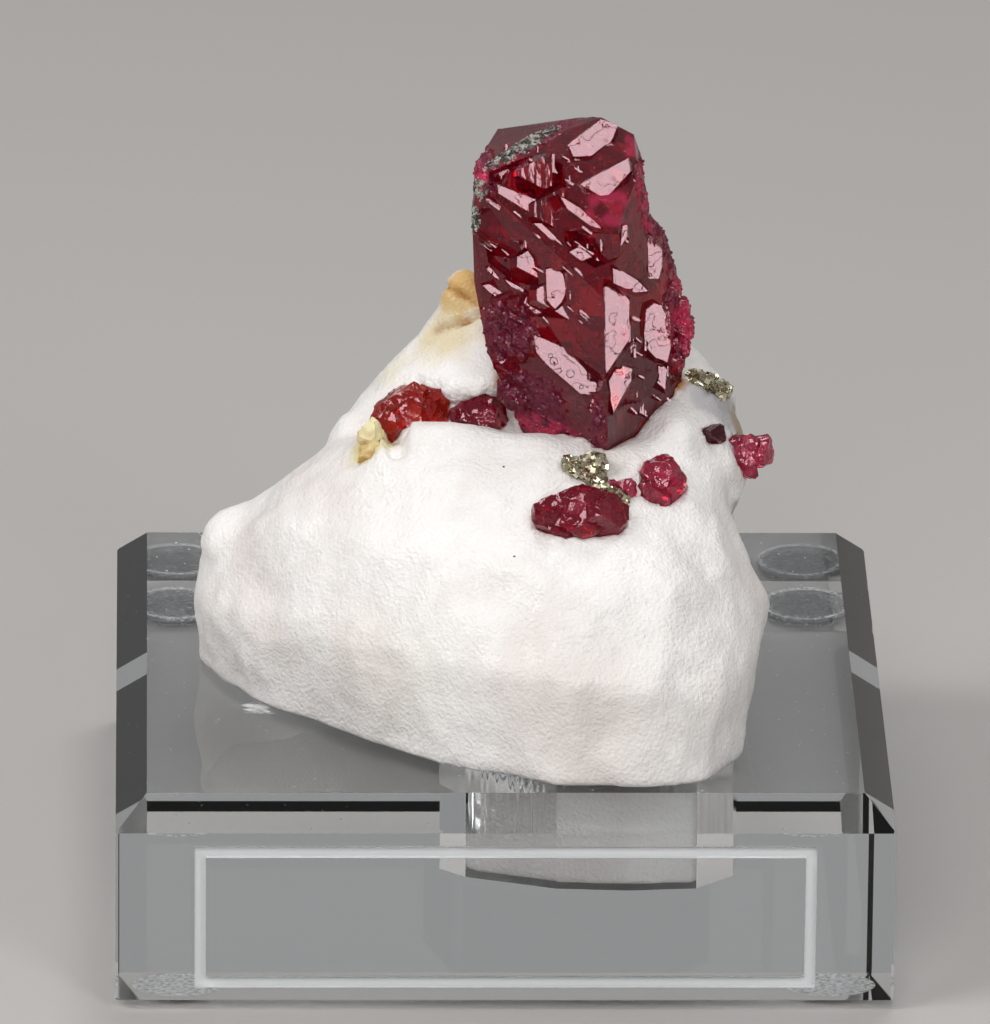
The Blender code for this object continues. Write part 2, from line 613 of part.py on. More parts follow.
def make_marble():
    """The marble lump, rounded and roughened, with a foot that enters the recess."""
    lumps = [solid_from_planes("lump", hull_planes(points))
             for points in (FRONT_LOBE, BACK_RIDGE, RIGHT_SHOULDER, LEFT_SHOULDER)]
    lumps += [make_knob(centre, halves) for centre, halves in KNOBS]
    marble = join_meshes("marble_matrix", lumps)
    fuse = marble.modifiers.new("fuse", "REMESH")
    fuse.mode = "VOXEL"
    fuse.voxel_size = MARBLE_VOXEL
    round_off = marble.modifiers.new("round_off", "SMOOTH")
    round_off.factor = 0.5
    round_off.iterations = MARBLE_ROUNDING
    bake(marble)
    roughen(marble)
    thin = marble.modifiers.new("thin", "DECIMATE")
    thin.ratio = MARBLE_TRIANGLES / (2 * len(marble.data.polygons))
    bake(marble)
    below = box("below", (-WIDE, -WIDE, 0), (WIDE, WIDE, BLOCK_TOP + GAP))
    boolean(marble, [below], "DIFFERENCE")
    foot = prism("foot", RECESS_OUTLINE, RECESS_FLOOR + GAP, BLOCK_TOP + FOOT_ROOT, RECESS_WALL)
    boolean(marble, [foot], "UNION")
    keep_largest(marble)
    return marble


def core_hit(tree, across, up):
    """The point of the core seen at a place in the display view, or the nearest to it."""
    hit = tree.ray_cast(view_point(across, up, FAR), -TOWARD)[0]
    if hit is None:
        hit = tree.find_nearest(view_point(across, up, CORE_FRONT))[0]
    return hit


def facet_corners(outline, face, level):
    """The outline's corners on a flat facet at a level along its outward direction."""
    corners = []
    for corner in outline:
        start = view_point(*corner)
        corners.append(start + TOWARD * ((level - face.dot(start)) / face.dot(TOWARD)))
    return corners


def moved_out(outline, distance):
    """The outline with each corner moved away from its middle, in the display view."""
    middle = sum((Vector(c) for c in outline), Vector((0, 0))) / len(outline)
    arms = [Vector(corner) - middle for corner in outline]
    return [middle + arm * (1.0 + distance / arm.length) for arm in arms]


def growth_planes(tree, outline, face, rise):
    """A block with the outline as its flat top, and the room cleared in front of it."""
    levels = [face.dot(core_hit(tree, *corner)) for corner in outline]
    level = HIGH_SHARE * max(levels) + (1 - HIGH_SHARE) * sum(levels) / len(levels) + rise
    top = facet_corners(outline, face, level)
    foot = [core_hit(tree, *corner) - TOWARD * FOOT_DEPTH
            for corner in moved_out(outline, SKIRT)]
    rim = [corner + TOWARD * CLEAR_REACH
           for corner in facet_corners(moved_out(outline, CLEAR_SPREAD), face, level)]
    return hull_planes(top + foot) + [(face, level)], hull_planes(top + rim)


def hollow_planes(tree, outline, face, depth):
    """A cutter with a flat floor under the outline, open towards the viewer."""
    middle = sum((Vector(c) for c in outline), Vector((0, 0))) / len(outline)
    floor = facet_corners(outline, face, face.dot(core_hit(tree, *middle)) - depth)
    rim = [corner + TOWARD * CLEAR_REACH
           for corner in facet_corners(moved_out(outline, CLEAR_SPREAD), face,
                                       face.dot(floor[0]))]
    return hull_planes(floor + rim)


def flank_planes():
    """The cutter of the step in the right flank."""
    return hull_planes([view_point(*corner, reach) for corner in FLANK_STEP
                        for reach in (-FLANK_REACH, FLANK_REACH)])


def large_spinel_planes():
    """Every convex block of the large crystal: the core first, as lists of planes."""
    rng = random.Random(41)
    axes = lattice_axes()
    face = view_vector(BRIGHT_FACE)
    core = hull_planes(CORE_CORNERS)
    core_object = solid_from_planes("core_guide", core)
    tree = surface_tree(core_object)
    blocks = [core]
    openings = []
    for outline, rise in GROWTH_FACES.values():
        block, opening = growth_planes(tree, outline, face, rise)
        blocks.append(block)
        openings.append(opening)
    hollow_face = view_vector(HOLLOW_FACE)
    for outline, depth in HOLLOWS.values():
        openings.append(hollow_planes(tree, outline, hollow_face, depth))
    for index in range(BACK_BLOCKS):
        turn = math.radians(between(BACK_TURNS, (index + 0.5) / BACK_BLOCKS))
        height = between(BACK_HEIGHTS, index * GOLDEN_STEP % 1.0)
        outward = Vector((math.cos(turn), math.sin(turn), 0.0))
        hit = tree.ray_cast(Vector((*BACK_AXIS, height)) + outward * WIDE, -outward)[0]
        size = rng.uniform(*BACK_SIZES)
        halves = [size * rng.uniform(*BACK_STRETCH) for _ in range(3)]
        skew = [rng.uniform(*BACK_SKEW) for _ in range(8)]
        centre = hit - outward * (size - BACK_RISE)
        blocks.append(octahedron_planes(centre, halves, axes, BACK_CUT, skew))
    for index in range(EDGE_LUMPS):
        up = between(EDGE_UP, (index + 0.5) / EDGE_LUMPS)
        across = EDGE_ACROSS + EDGE_SWAY * math.sin(index * EDGE_ANGLE)
        front = EDGE_FRONT - EDGE_ROW * (index % EDGE_ROWS)
        spot = tree.find_nearest(view_point(across, up, front))[0]
        halves = [rng.uniform(*EDGE_SIZES) for _ in range(3)]
        blocks.append(octahedron_planes(spot, halves, axes, EDGE_CUT))
    for index in range(LEFT_LUMPS):
        up = between(LEFT_UP, (index + 0.5) / LEFT_LUMPS)
        across = between(LEFT_ACROSS, index * GOLDEN_STEP % 1.0)
        hit = tree.ray_cast(view_point(across, up, FAR), -TOWARD)[0]
        if hit:
            halves = [rng.uniform(*LEFT_SIZES) for _ in range(3)]
            centre = hit - TOWARD * LEFT_DEPTH
            blocks.append(octahedron_planes(centre, halves, axes, LEFT_CUT))
    bpy.data.objects.remove(core_object, do_unlink=True)
    return blocks, openings


def make_large_spinel(blocks, openings):
    """The core with its openings cut, joined with all the growth blocks."""
    crystal = solid_from_planes("large_spinel", blocks[0])
    cutters = [solid_from_planes("opening", planes) for planes in openings]
    boolean(crystal, cutters, "DIFFERENCE")
    boolean(crystal, [solid_from_planes("block", planes) for planes in blocks[1:]], "UNION")
    boolean(crystal, [solid_from_planes("step", flank_planes())], "DIFFERENCE")
    tidy_mesh(crystal)
    keep_largest(crystal)
    return crystal


def small_body_planes(tree, place):
    """The blocks of a small crystal or grain, set on the marble where the view shows it."""
    across, up, out, lumps = place
    hit = tree.ray_cast(view_point(across, up, FAR), -TOWARD)[0]
    blocks = []
    for shift_across, shift_up, shift_out, halves, turn in lumps:
        axes = [Euler([math.radians(a) for a in turn]).to_matrix() @ Vector(unit)
                for unit in ((1, 0, 0), (0, 0, 1), (0, 1, 0))]
        centre = (hit + RIGHT * shift_across + UP * shift_up
                  + TOWARD * (shift_out + out))
        blocks.append(octahedron_planes(centre, halves, axes, SMALL_CUT))
    return blocks


def make_small_body(name, blocks, grow=0.0):
    """One solid from the blocks of a small crystal, or its pocket when grown."""
    solids = [solid_from_planes(name, planes, grow) for planes in blocks]
    if len(solids) > 1:
        boolean(solids[0], solids[1:], "UNION")
    solids[0].name = name
    return solids[0]


def make_material(name, colour, roughness, metallic, clear):
    """A Principled material with plain values."""
    material = bpy.data.materials.new(name)
    material.use_nodes = True
    shader = material.node_tree.nodes["Principled BSDF"]
    shader.inputs["Base Color"].default_value = (*colour, 1.0)
    shader.inputs["Roughness"].default_value = roughness
    shader.inputs["Metallic"].default_value = metallic
    shader.inputs["Transmission Weight"].default_value = clear
    return material


def finish(obj, name, colour_name):
    """Name the object and its mesh, turn it to metres and give it its material."""
    obj.name = name
    obj.data.name = name
    obj.data.transform(Matrix.Scale(MM, 4))
    obj.data.materials.clear()
    obj.data.materials.append(make_material(name, *COLOURS[colour_name]))


def main():
    """Build every piece in order."""
    clear_scene()
    block = make_block()
    inset = BLOCK_SIDE / 2 - FOOT_INSET
    feet = {}
    for depth_name, y in (("front", -inset), ("back", inset)):
        for side_name, x in (("left", -inset), ("right", inset)):
            name = f"foot_{depth_name}_{side_name}"
            feet[name] = make_foot(name, x, y)
    marble = make_marble()
    tree = surface_tree(marble)
    blocks, openings = large_spinel_planes()
    bodies = {name: small_body_planes(tree, place)
              for name, place in {**SMALL_CRYSTALS, **GRAINS}.items()}
    pockets = [solid_from_planes("pocket", planes, GAP) for planes in blocks]
    for lumps in bodies.values():
        pockets += [solid_from_planes("pocket", planes, GAP) for planes in lumps]
    boolean(marble, pockets, "DIFFERENCE")
    tidy_mesh(marble, 0.02)
    keep_largest(marble)
    solids = {"large_spinel": make_large_spinel(blocks, openings)}
    for name, lumps in bodies.items():
        solids[name] = make_small_body(name, lumps)
    for name, neighbours in GROWN_AGAINST.items():
        cutters = [solid_from_planes("pocket", planes, GAP)
                   for neighbour in neighbours for planes in bodies[neighbour]]
        boolean(solids[name], cutters, "DIFFERENCE")
    finish(block, "base_block", "acrylic")
    for name, foot in feet.items():
        finish(foot, name, "foot")
    finish(marble, "marble_matrix", "marble")
    for name, solid in solids.items():
        tidy_mesh(solid)
        keep_largest(solid)
        finish(solid, name, PIECE_COLOURS[name])


main()
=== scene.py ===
"""Looks of a spinel specimen: red crystals on white marble in a clear display block.

Lengths in the dataclasses are millimetres and are turned to metres where a mesh is made.
Colours are sRGB hex codes.
"""
import logging
import math
import random
from dataclasses import dataclass
from enum import Enum
from functools import cached_property

import bmesh
import bpy
import numpy as np
from mathutils import Matrix, Vector, noise
from mathutils.bvhtree import BVHTree


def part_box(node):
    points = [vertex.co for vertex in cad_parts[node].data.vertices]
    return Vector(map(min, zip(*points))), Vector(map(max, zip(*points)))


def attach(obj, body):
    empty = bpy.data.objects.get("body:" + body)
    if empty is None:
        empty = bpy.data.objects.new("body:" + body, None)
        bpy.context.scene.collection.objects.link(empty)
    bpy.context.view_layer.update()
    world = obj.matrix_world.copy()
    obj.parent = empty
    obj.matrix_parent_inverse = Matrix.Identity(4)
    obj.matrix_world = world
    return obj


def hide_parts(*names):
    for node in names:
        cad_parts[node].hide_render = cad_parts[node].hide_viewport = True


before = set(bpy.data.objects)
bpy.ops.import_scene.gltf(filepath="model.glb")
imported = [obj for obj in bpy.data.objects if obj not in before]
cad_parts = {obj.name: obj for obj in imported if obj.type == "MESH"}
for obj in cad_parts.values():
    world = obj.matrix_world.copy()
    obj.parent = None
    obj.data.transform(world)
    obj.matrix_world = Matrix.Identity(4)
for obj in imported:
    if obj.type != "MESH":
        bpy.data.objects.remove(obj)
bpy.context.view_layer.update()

MM = 0.001
BODY = "root"
LOG = logging.getLogger("spinel_specimen")
# Corners of a CAD mesh closer than this, in millimetres, are one corner.
SAME_CORNER = 0.002
# A ray towards the specimen starts this many millimetres in front of it.
RAY_START = 100.0
# A Mix node's colour inputs share their names with its other inputs, so they go by number.
COLOUR_A = 6
COLOUR_B = 7
# The middle of a texture's range of values.
MIDDLE = 0.5
# How often light may bounce: enough to pass the block's walls and a crystal behind them.
BOUNCES = {"max_bounces": 7, "diffuse_bounces": 2, "glossy_bounces": 3,
           "transmission_bounces": 7}

Object = bpy.types.Object
Material = bpy.types.Material
Tree = bpy.types.NodeTree
Node = bpy.types.Node
Socket = bpy.types.NodeSocket
Source = Node | Socket
Triple = tuple[float, float, float]
Levels = tuple[float, float]


def linear(code: str) -> tuple[float, float, float, float]:
    """Turn an sRGB hex colour to linear light.

    Args:
        code: Colour such as "#C8BE90".

    Returns:
        Linear red, green, blue and an alpha of 1.
    """
    parts = [int(code[i:i + 2], 16) / 255 for i in (1, 3, 5)]
    values = [p / 12.92 if p <= 0.04045 else ((p + 0.055) / 1.055) ** 2.4 for p in parts]
    return (*values, 1.0)


def feed(tree: Tree, node: Node, inputs: dict | list) -> None:
    """Set a node's inputs.

    Args:
        tree: Node tree that holds the node.
        node: The node.
        inputs: Values by socket name or number, or a list of them in the sockets' order.
            A value is plain, another node's socket, or another node, which stands for its
            first output in use.
    """
    for key, value in inputs.items() if isinstance(inputs, dict) else enumerate(inputs):
        if isinstance(value, Node):
            value = next(socket for socket in value.outputs if socket.enabled)
        if isinstance(value, Socket):
            tree.links.new(value, node.inputs[key])
        else:
            node.inputs[key].default_value = value


def add(tree: Tree, kind: str, inputs: dict | list = (), **settings: object) -> Node:
    """Add a node with its settings and its inputs.

    Args:
        tree: Node tree that gets the node.
        kind: Blender's name for the node's type.
        inputs: The node's inputs, as feed takes them.
        **settings: Properties of the node itself.

    Returns:
        The new node.
    """
    node = tree.nodes.new(kind)
    for name, value in settings.items():
        setattr(node, name, value)
    feed(tree, node, inputs)
    return node


def per(size: float) -> float:
    """Texture scale at which one cell of a pattern is so many millimetres across."""
    return 1.0 / (size * MM)


def smooth_step(low: float, high: float, value: float) -> float:
    """Rise smoothly from 0 at low to 1 at high."""
    share = min(1.0, max(0.0, (value - low) / (high - low)))
    return share * share * (3.0 - 2.0 * share)


@dataclass(frozen=True)
class Waves:
    """Smooth noise, by its waves per millimetre and where in the noise it is taken."""

    scale: float
    offset: Triple = (0.0, 0.0, 0.0)

    def at(self, place: Vector) -> float:
        """The noise at a point in metres, from about -1 to 1."""
        return noise.noise(place / MM * self.scale + Vector(self.offset))


@dataclass(frozen=True)
class DisplayView:
    """The camera's place, from which the marks on the specimen are told, too."""

    azimuth: float = -1.369
    elevation: float = 21.15
    roll: float = 0.547
    distance: float = 1423.35
    lens: float = 547.67
    film_width: float = 36.0
    clip_start: float = 10.0
    middle_height: float = 30.0
    shift_right: float = -0.458
    shift_up: float = 4.225
    plane_centre: Triple = (-0.42, 1.53, 33.94)

    @cached_property
    def level_axes(self) -> tuple[Vector, Vector, Vector]:
        """Unit vectors to the right, up and towards the viewer, before the roll."""
        turn, tip = math.radians(self.azimuth), math.radians(self.elevation)
        toward = Vector((math.sin(turn) * math.cos(tip), -math.cos(turn) * math.cos(tip),
                         math.sin(tip)))
        right = Vector((0, 0, 1)).cross(toward).normalized()
        return right, toward.cross(right), toward

    @cached_property
    def axes(self) -> tuple[Vector, Vector, Vector]:
        """Unit vectors to the right, up and towards the viewer in the picture."""
        level, upright, toward = self.level_axes
        roll = math.radians(self.roll)
        right = math.cos(roll) * level + math.sin(roll) * upright
        up = math.cos(roll) * upright - math.sin(roll) * level
        return right, up, toward

    def spot(self, across: float, up: float, out: float) -> Vector:
        """Find the point that lies so far across, up and out in this view.

        Args:
            across: Millimetres to the right.
            up: Millimetres upwards.
            out: Millimetres towards the viewer.

        Returns:
            The point in metres.
        """
        right, upright, toward = self.axes
        centre = Vector(self.plane_centre)
        return (centre + right * across + upright * up + toward * out) * MM

    def place_of(self, point: Vector) -> Triple:
        """How far across, up and out a point lies, in millimetres."""
        arm = point / MM - Vector(self.plane_centre)
        return tuple(arm.dot(axis) for axis in self.axes)

    def make_camera(self) -> None:
        """Add the camera and make it the scene's own."""
        level, upright, toward = self.level_axes
        aim = (Vector((0, 0, self.middle_height)) + self.shift_right * level
               + self.shift_up * upright)
        place = (aim + toward * self.distance) * MM
        data = bpy.data.cameras.new("display_camera")
        data.lens = self.lens
        data.sensor_width = self.film_width
        data.clip_start = self.clip_start * MM
        camera = bpy.data.objects.new("display_camera", data)
        bpy.context.scene.collection.objects.link(camera)
        right, up, _ = self.axes
        rows = [(right[i], up[i], toward[i], place[i]) for i in range(3)]
        camera.matrix_world = Matrix((*rows, (0, 0, 0, 1)))
        bpy.context.scene.camera = camera


VIEW = DisplayView()


def new_object(name: str, bm: bmesh.types.BMesh) -> Object:
    """Put a bmesh into a new object of the scene, and free it.

    Args:
        name: The object's name.
        bm: Its mesh, in metres.

    Returns:
        The new object, at the origin.
    """
    mesh = bpy.data.meshes.new(name)
    bm.to_mesh(mesh)
    bm.free()
    made = bpy.data.objects.new(name, mesh)
    bpy.context.scene.collection.objects.link(made)
    return made


def merged_copy(node: str, name: str, flat_angle: float = 0.6) -> Object:
    """Copy a CAD node's mesh with its corners merged and its flat faces whole.

    Args:
        node: The CAD node.
        name: Name of the new piece.
        flat_angle: Faces that differ by less than so many degrees become one.

    Returns:
        The new object, at the origin.
    """
    bm = bmesh.new()
    bm.from_mesh(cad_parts[node].data)
    bmesh.ops.remove_doubles(bm, verts=bm.verts, dist=SAME_CORNER * MM)
    bmesh.ops.dissolve_limit(bm, angle_limit=math.radians(flat_angle), verts=bm.verts,
                             edges=bm.edges)
    bmesh.ops.triangulate(bm, faces=bm.faces)
    bmesh.ops.recalc_face_normals(bm, faces=bm.faces)
    return new_object(name, bm)


def bake(piece: Object) -> None:
    """Keep an object's evaluated mesh and drop its modifiers.

    Args:
        piece: The object, which is left with a plain mesh.
    """
    graph = bpy.context.evaluated_depsgraph_get()
    mesh = bpy.data.meshes.new_from_object(piece.evaluated_get(graph))
    piece.modifiers.clear()
    piece.data = mesh


def search_tree(piece: Object) -> BVHTree:
    """Make a search tree of a mesh's surface.

    Args:
        piece: Object at the origin.

    Returns:
        The tree, which finds the nearest spot and what a ray meets.
    """
    bm = bmesh.new()
    bm.from_mesh(piece.data)
    tree = BVHTree.FromBMesh(bm)
    bm.free()
    return tree


def refine(piece: Object, longest: float, crisp_angle: float = 4.0) -> None:
    """Split long edges until none is over a length, and keep the facets' edges crisp.

    Args:
        piece: Closed mesh of flat facets.
        longest: Longest edge left, in millimetres.
        crisp_angle: Edges bent by more degrees than this are shaded as sharp.
    """
    bm = bmesh.new()
    bm.from_mesh(piece.data)
    for edge in bm.edges:
        edge.smooth = edge.calc_face_angle(math.pi) < math.radians(crisp_angle)
    while long_edges := [edge for edge in bm.edges if edge.calc_length() > longest * MM]:
        bmesh.ops.subdivide_edges(bm, edges=long_edges, cuts=1, use_grid_fill=False)
        bmesh.ops.triangulate(bm, faces=[face for face in bm.faces if len(face.verts) > 3],
                              quad_method="SHORT_EDGE", ngon_method="BEAUTY")
    for face in bm.faces:
        face.smooth = True
    bm.to_mesh(piece.data)
    bm.free()


def move_points(piece: Object, moves: list[Vector]) -> None:
    """Move each point of a mesh by its own vector."""
    for vert, move in zip(piece.data.vertices, moves):
        vert.co += move


def write_mask(piece: Object, name: str, values: list[float]) -> None:
    """Store one number for each point of a mesh, for its material and its grains."""
    layer = piece.data.attributes.new(name, "FLOAT", "POINT")
    layer.data.foreach_set("value", np.array(values, np.float32))


def dress(piece: Object, material: Material, slot: str, *nodes: str) -> None:
    """Give a finished piece its material and say where it belongs.

    Args:
        piece: The piece, as a plain mesh at the origin.
        material: Its only material.
        slot: The record's material slot; not used.
        *nodes: The CAD nodes that it stands for.
    """
    piece.data.materials.clear()
    piece.data.materials.append(material)
    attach(piece, BODY)
    if nodes:
        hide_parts(*nodes)
    LOG.info("%s: %d faces", piece.name, len(piece.data.polygons))


class Finish:
    """A surface finish. Each subclass builds the node tree of one real material."""

    name: str

    def start(self) -> tuple[Material, Tree, Node, Socket]:
        """Make the material.

        Returns:
            The material, its tree, its shader and the object coordinates.
        """
        material = bpy.data.materials.new(self.name)
        material.use_nodes = True
        tree = material.node_tree
        shader = tree.nodes["Principled BSDF"]
        place = add(tree, "ShaderNodeTexCoord").outputs["Object"]
        return material, tree, shader, place


def layered(tree: Tree, base: str, *layers: tuple[Source, str]) -> Node:
    """Lay colours over a base colour, each through its own mask.

    Args:
        tree: The material's node tree.
        base: The colour under all layers.
        *layers: Mask and colour of each layer.

    Returns:
        The node that gives the colour.
    """
    colour = linear(base)
    for mask, code in layers:
        colour = add(tree, "ShaderNodeMix", {0: mask, COLOUR_A: colour,
                                             COLOUR_B: linear(code)}, data_type="RGBA")
    return colour


def overlap(tree: Tree, mask: Source, *others: Source) -> Source:
    """Keep of a mask only what lies in all others, too.

    Args:
        tree: The material's node tree.
        mask: The first mask.
        *others: The masks that it is multiplied by.

    Returns:
        The mask that is left.
    """
    for other in others:
        mask = add(tree, "ShaderNodeMath", [mask, other], operation="MULTIPLY")
    return mask


def box_mask(tree: Tree, place: Socket, low: Triple, high: Triple) -> Source:
    """Make a mask that is 1 inside an upright box and 0 outside it.

    Args:
        tree: The material's node tree.
        place: Object coordinates.
        low: The box's lowest corner.
        high: The box's highest corner.

    Returns:
        The mask.
    """
    parts = add(tree, "ShaderNodeSeparateXYZ", [place])
    sides = []
    for axis, least, most in zip("XYZ", low, high):
        for level, side in ((least, "GREATER_THAN"), (most, "LESS_THAN")):
            sides.append(add(tree, "ShaderNodeMath", [parts.outputs[axis], level * MM],
                             operation=side))
    return overlap(tree, *sides)


@dataclass(frozen=True)
class StainOrShade:
    """A patch of another colour, by its centre and radius."""

    centre: Triple
    radius: float
    colour: str
    strength: float
    soft: float = 0.6

    def mask(self, tree: Tree, place: Source) -> Node:
        """Make a mask that fades from the patch's strength at its centre to 0 at its rim.

        Args:
            tree: The material's node tree.
            place: Object coordinates, already made ragged by noise.

        Returns:
            The mask's node.
        """
        centre = tuple(c * MM for c in self.centre)
        far = add(tree, "ShaderNodeVectorMath", [place, centre], operation="DISTANCE")
        return add(tree, "ShaderNodeMapRange", [
            far, self.radius * MM, self.radius * (1 - self.soft) * MM, 0.0, self.strength],
                   interpolation_type="SMOOTHSTEP")


@dataclass(frozen=True)
class SugaryMarble(Finish):
    """White calcite marble: a broken sugary surface, so it scatters light and glints."""

    name: str = "calcite_marble_sugary"
    white: str = "#F4F1EE"
    warm_grey: str = "#E6DEDA"
    seam: str = "#A8702C"
    fleck: str = "#5C564E"
    ior: float = 1.49
    patch: float = 11.0
    patch_levels: Levels = (0.42, 0.70)
    ragged: float = 2.6
    ragged_reach: float = 4.0
    seam_levels: Levels = (0.46, 0.60)
    fleck_step: float = 6.5
    fleck_size: float = 0.018
    grain: float = 1.1
    grain_levels: Levels = (0.25, 0.8)
    grain_tilt: float = 0.10
    roughness: Levels = (0.30, 0.70)
    sugar: float = 0.35
    sugar_depth: float = 0.18
    sugar_strength: float = 0.75
    stains_and_shade: tuple[StainOrShade, ...] = (
        StainOrShade((-3.2, 6.6, 53.4), 3.6, "#D8A53C", 0.85, 0.5),
        StainOrShade((-4.6, 4.6, 49.8), 4.8, "#E0CFA0", 0.75, 0.7),
        StainOrShade((-9.5, 4.5, 46.0), 3.0, "#E4DDC0", 0.6, 0.8),
        StainOrShade((-11.8, -6.5, 43.3), 3.0, "#D9CC90", 0.8, 0.6),
        StainOrShade((19.6, -1.0, 44.8), 5.2, "#A9A7AC", 0.75, 0.6),
        StainOrShade((21.8, 0.2, 42.4), 3.0, "#A08E6C", 0.8, 0.5),
        StainOrShade((22.4, -5.0, 36.5), 2.4, "#8C8C84", 0.7, 0.5),
        StainOrShade((9.5, -12.0, 43.6), 3.2, "#D6CDC6", 0.6, 0.7),
        # Painted shade: these two wide patches grey the marble's lower front, where light from
        # above falls off.
        StainOrShade((7.0, -28.0, 26.0), 14.0, "#D9CEC9", 0.6, 0.9),
        StainOrShade((-8.0, -21.0, 27.5), 9.0, "#DED4C8", 0.5, 0.9),
    )

    def material(self) -> Material:
        """Build the material.

        Returns:
            The marble, which reads the point attribute "seam".
        """
        material, tree, shader, place = self.start()
        ragged = add(tree, "ShaderNodeTexNoise", {
            "Vector": place, "Scale": per(self.ragged), "Detail": 4.0})
        shift = add(tree, "ShaderNodeVectorMath", [ragged.outputs["Color"], (MIDDLE,) * 3],
                    operation="SUBTRACT")
        moved = add(tree, "ShaderNodeVectorMath", [
            shift, (self.ragged_reach * MM,) * 3, place], operation="MULTIPLY_ADD")
        cloud = add(tree, "ShaderNodeTexNoise", {
            "Vector": place, "Scale": per(self.patch), "Detail": 3.0, "Roughness": 0.6})
        patches = add(tree, "ShaderNodeMapRange", [cloud, *self.patch_levels])
        seam = add(tree, "ShaderNodeAttribute", attribute_name="seam").outputs["Fac"]
        broken = add(tree, "ShaderNodeMapRange", [ragged, *self.seam_levels])
        cells = add(tree, "ShaderNodeTexVoronoi", {
            "Vector": place, "Scale": per(self.fleck_step)})
        flecks = add(tree, "ShaderNodeMath", [cells, self.fleck_size], operation="LESS_THAN")
        colour = layered(tree, self.white, (patches, self.warm_grey),
                         *((stain_or_shade.mask(tree, moved), stain_or_shade.colour) for stain_or_shade in self.stains_and_shade),
                         (overlap(tree, seam, broken), self.seam), (flecks, self.fleck))
        grains = add(tree, "ShaderNodeTexVoronoi", {
            "Vector": place, "Scale": per(self.grain)}).outputs["Color"]
        gloss = add(tree, "ShaderNodeMapRange", [grains, *self.grain_levels, *self.roughness])
        fine = add(tree, "ShaderNodeTexNoise", {
            "Vector": place, "Scale": per(self.sugar), "Detail": 1.0})
        bump = add(tree, "ShaderNodeBump", {
            "Height": fine, "Strength": self.sugar_strength, "Distance": self.sugar_depth * MM})
        tilt = add(tree, "ShaderNodeVectorMath", [grains, (MIDDLE,) * 3], operation="SUBTRACT")
        turned = add(tree, "ShaderNodeVectorMath", [tilt, (self.grain_tilt,) * 3, bump],
                     operation="MULTIPLY_ADD")
        normal = add(tree, "ShaderNodeVectorMath", [turned], operation="NORMALIZE")
        feed(tree, shader, {"Base Color": colour, "Roughness": gloss, "Normal": normal,
                            "IOR": self.ior})
        return material


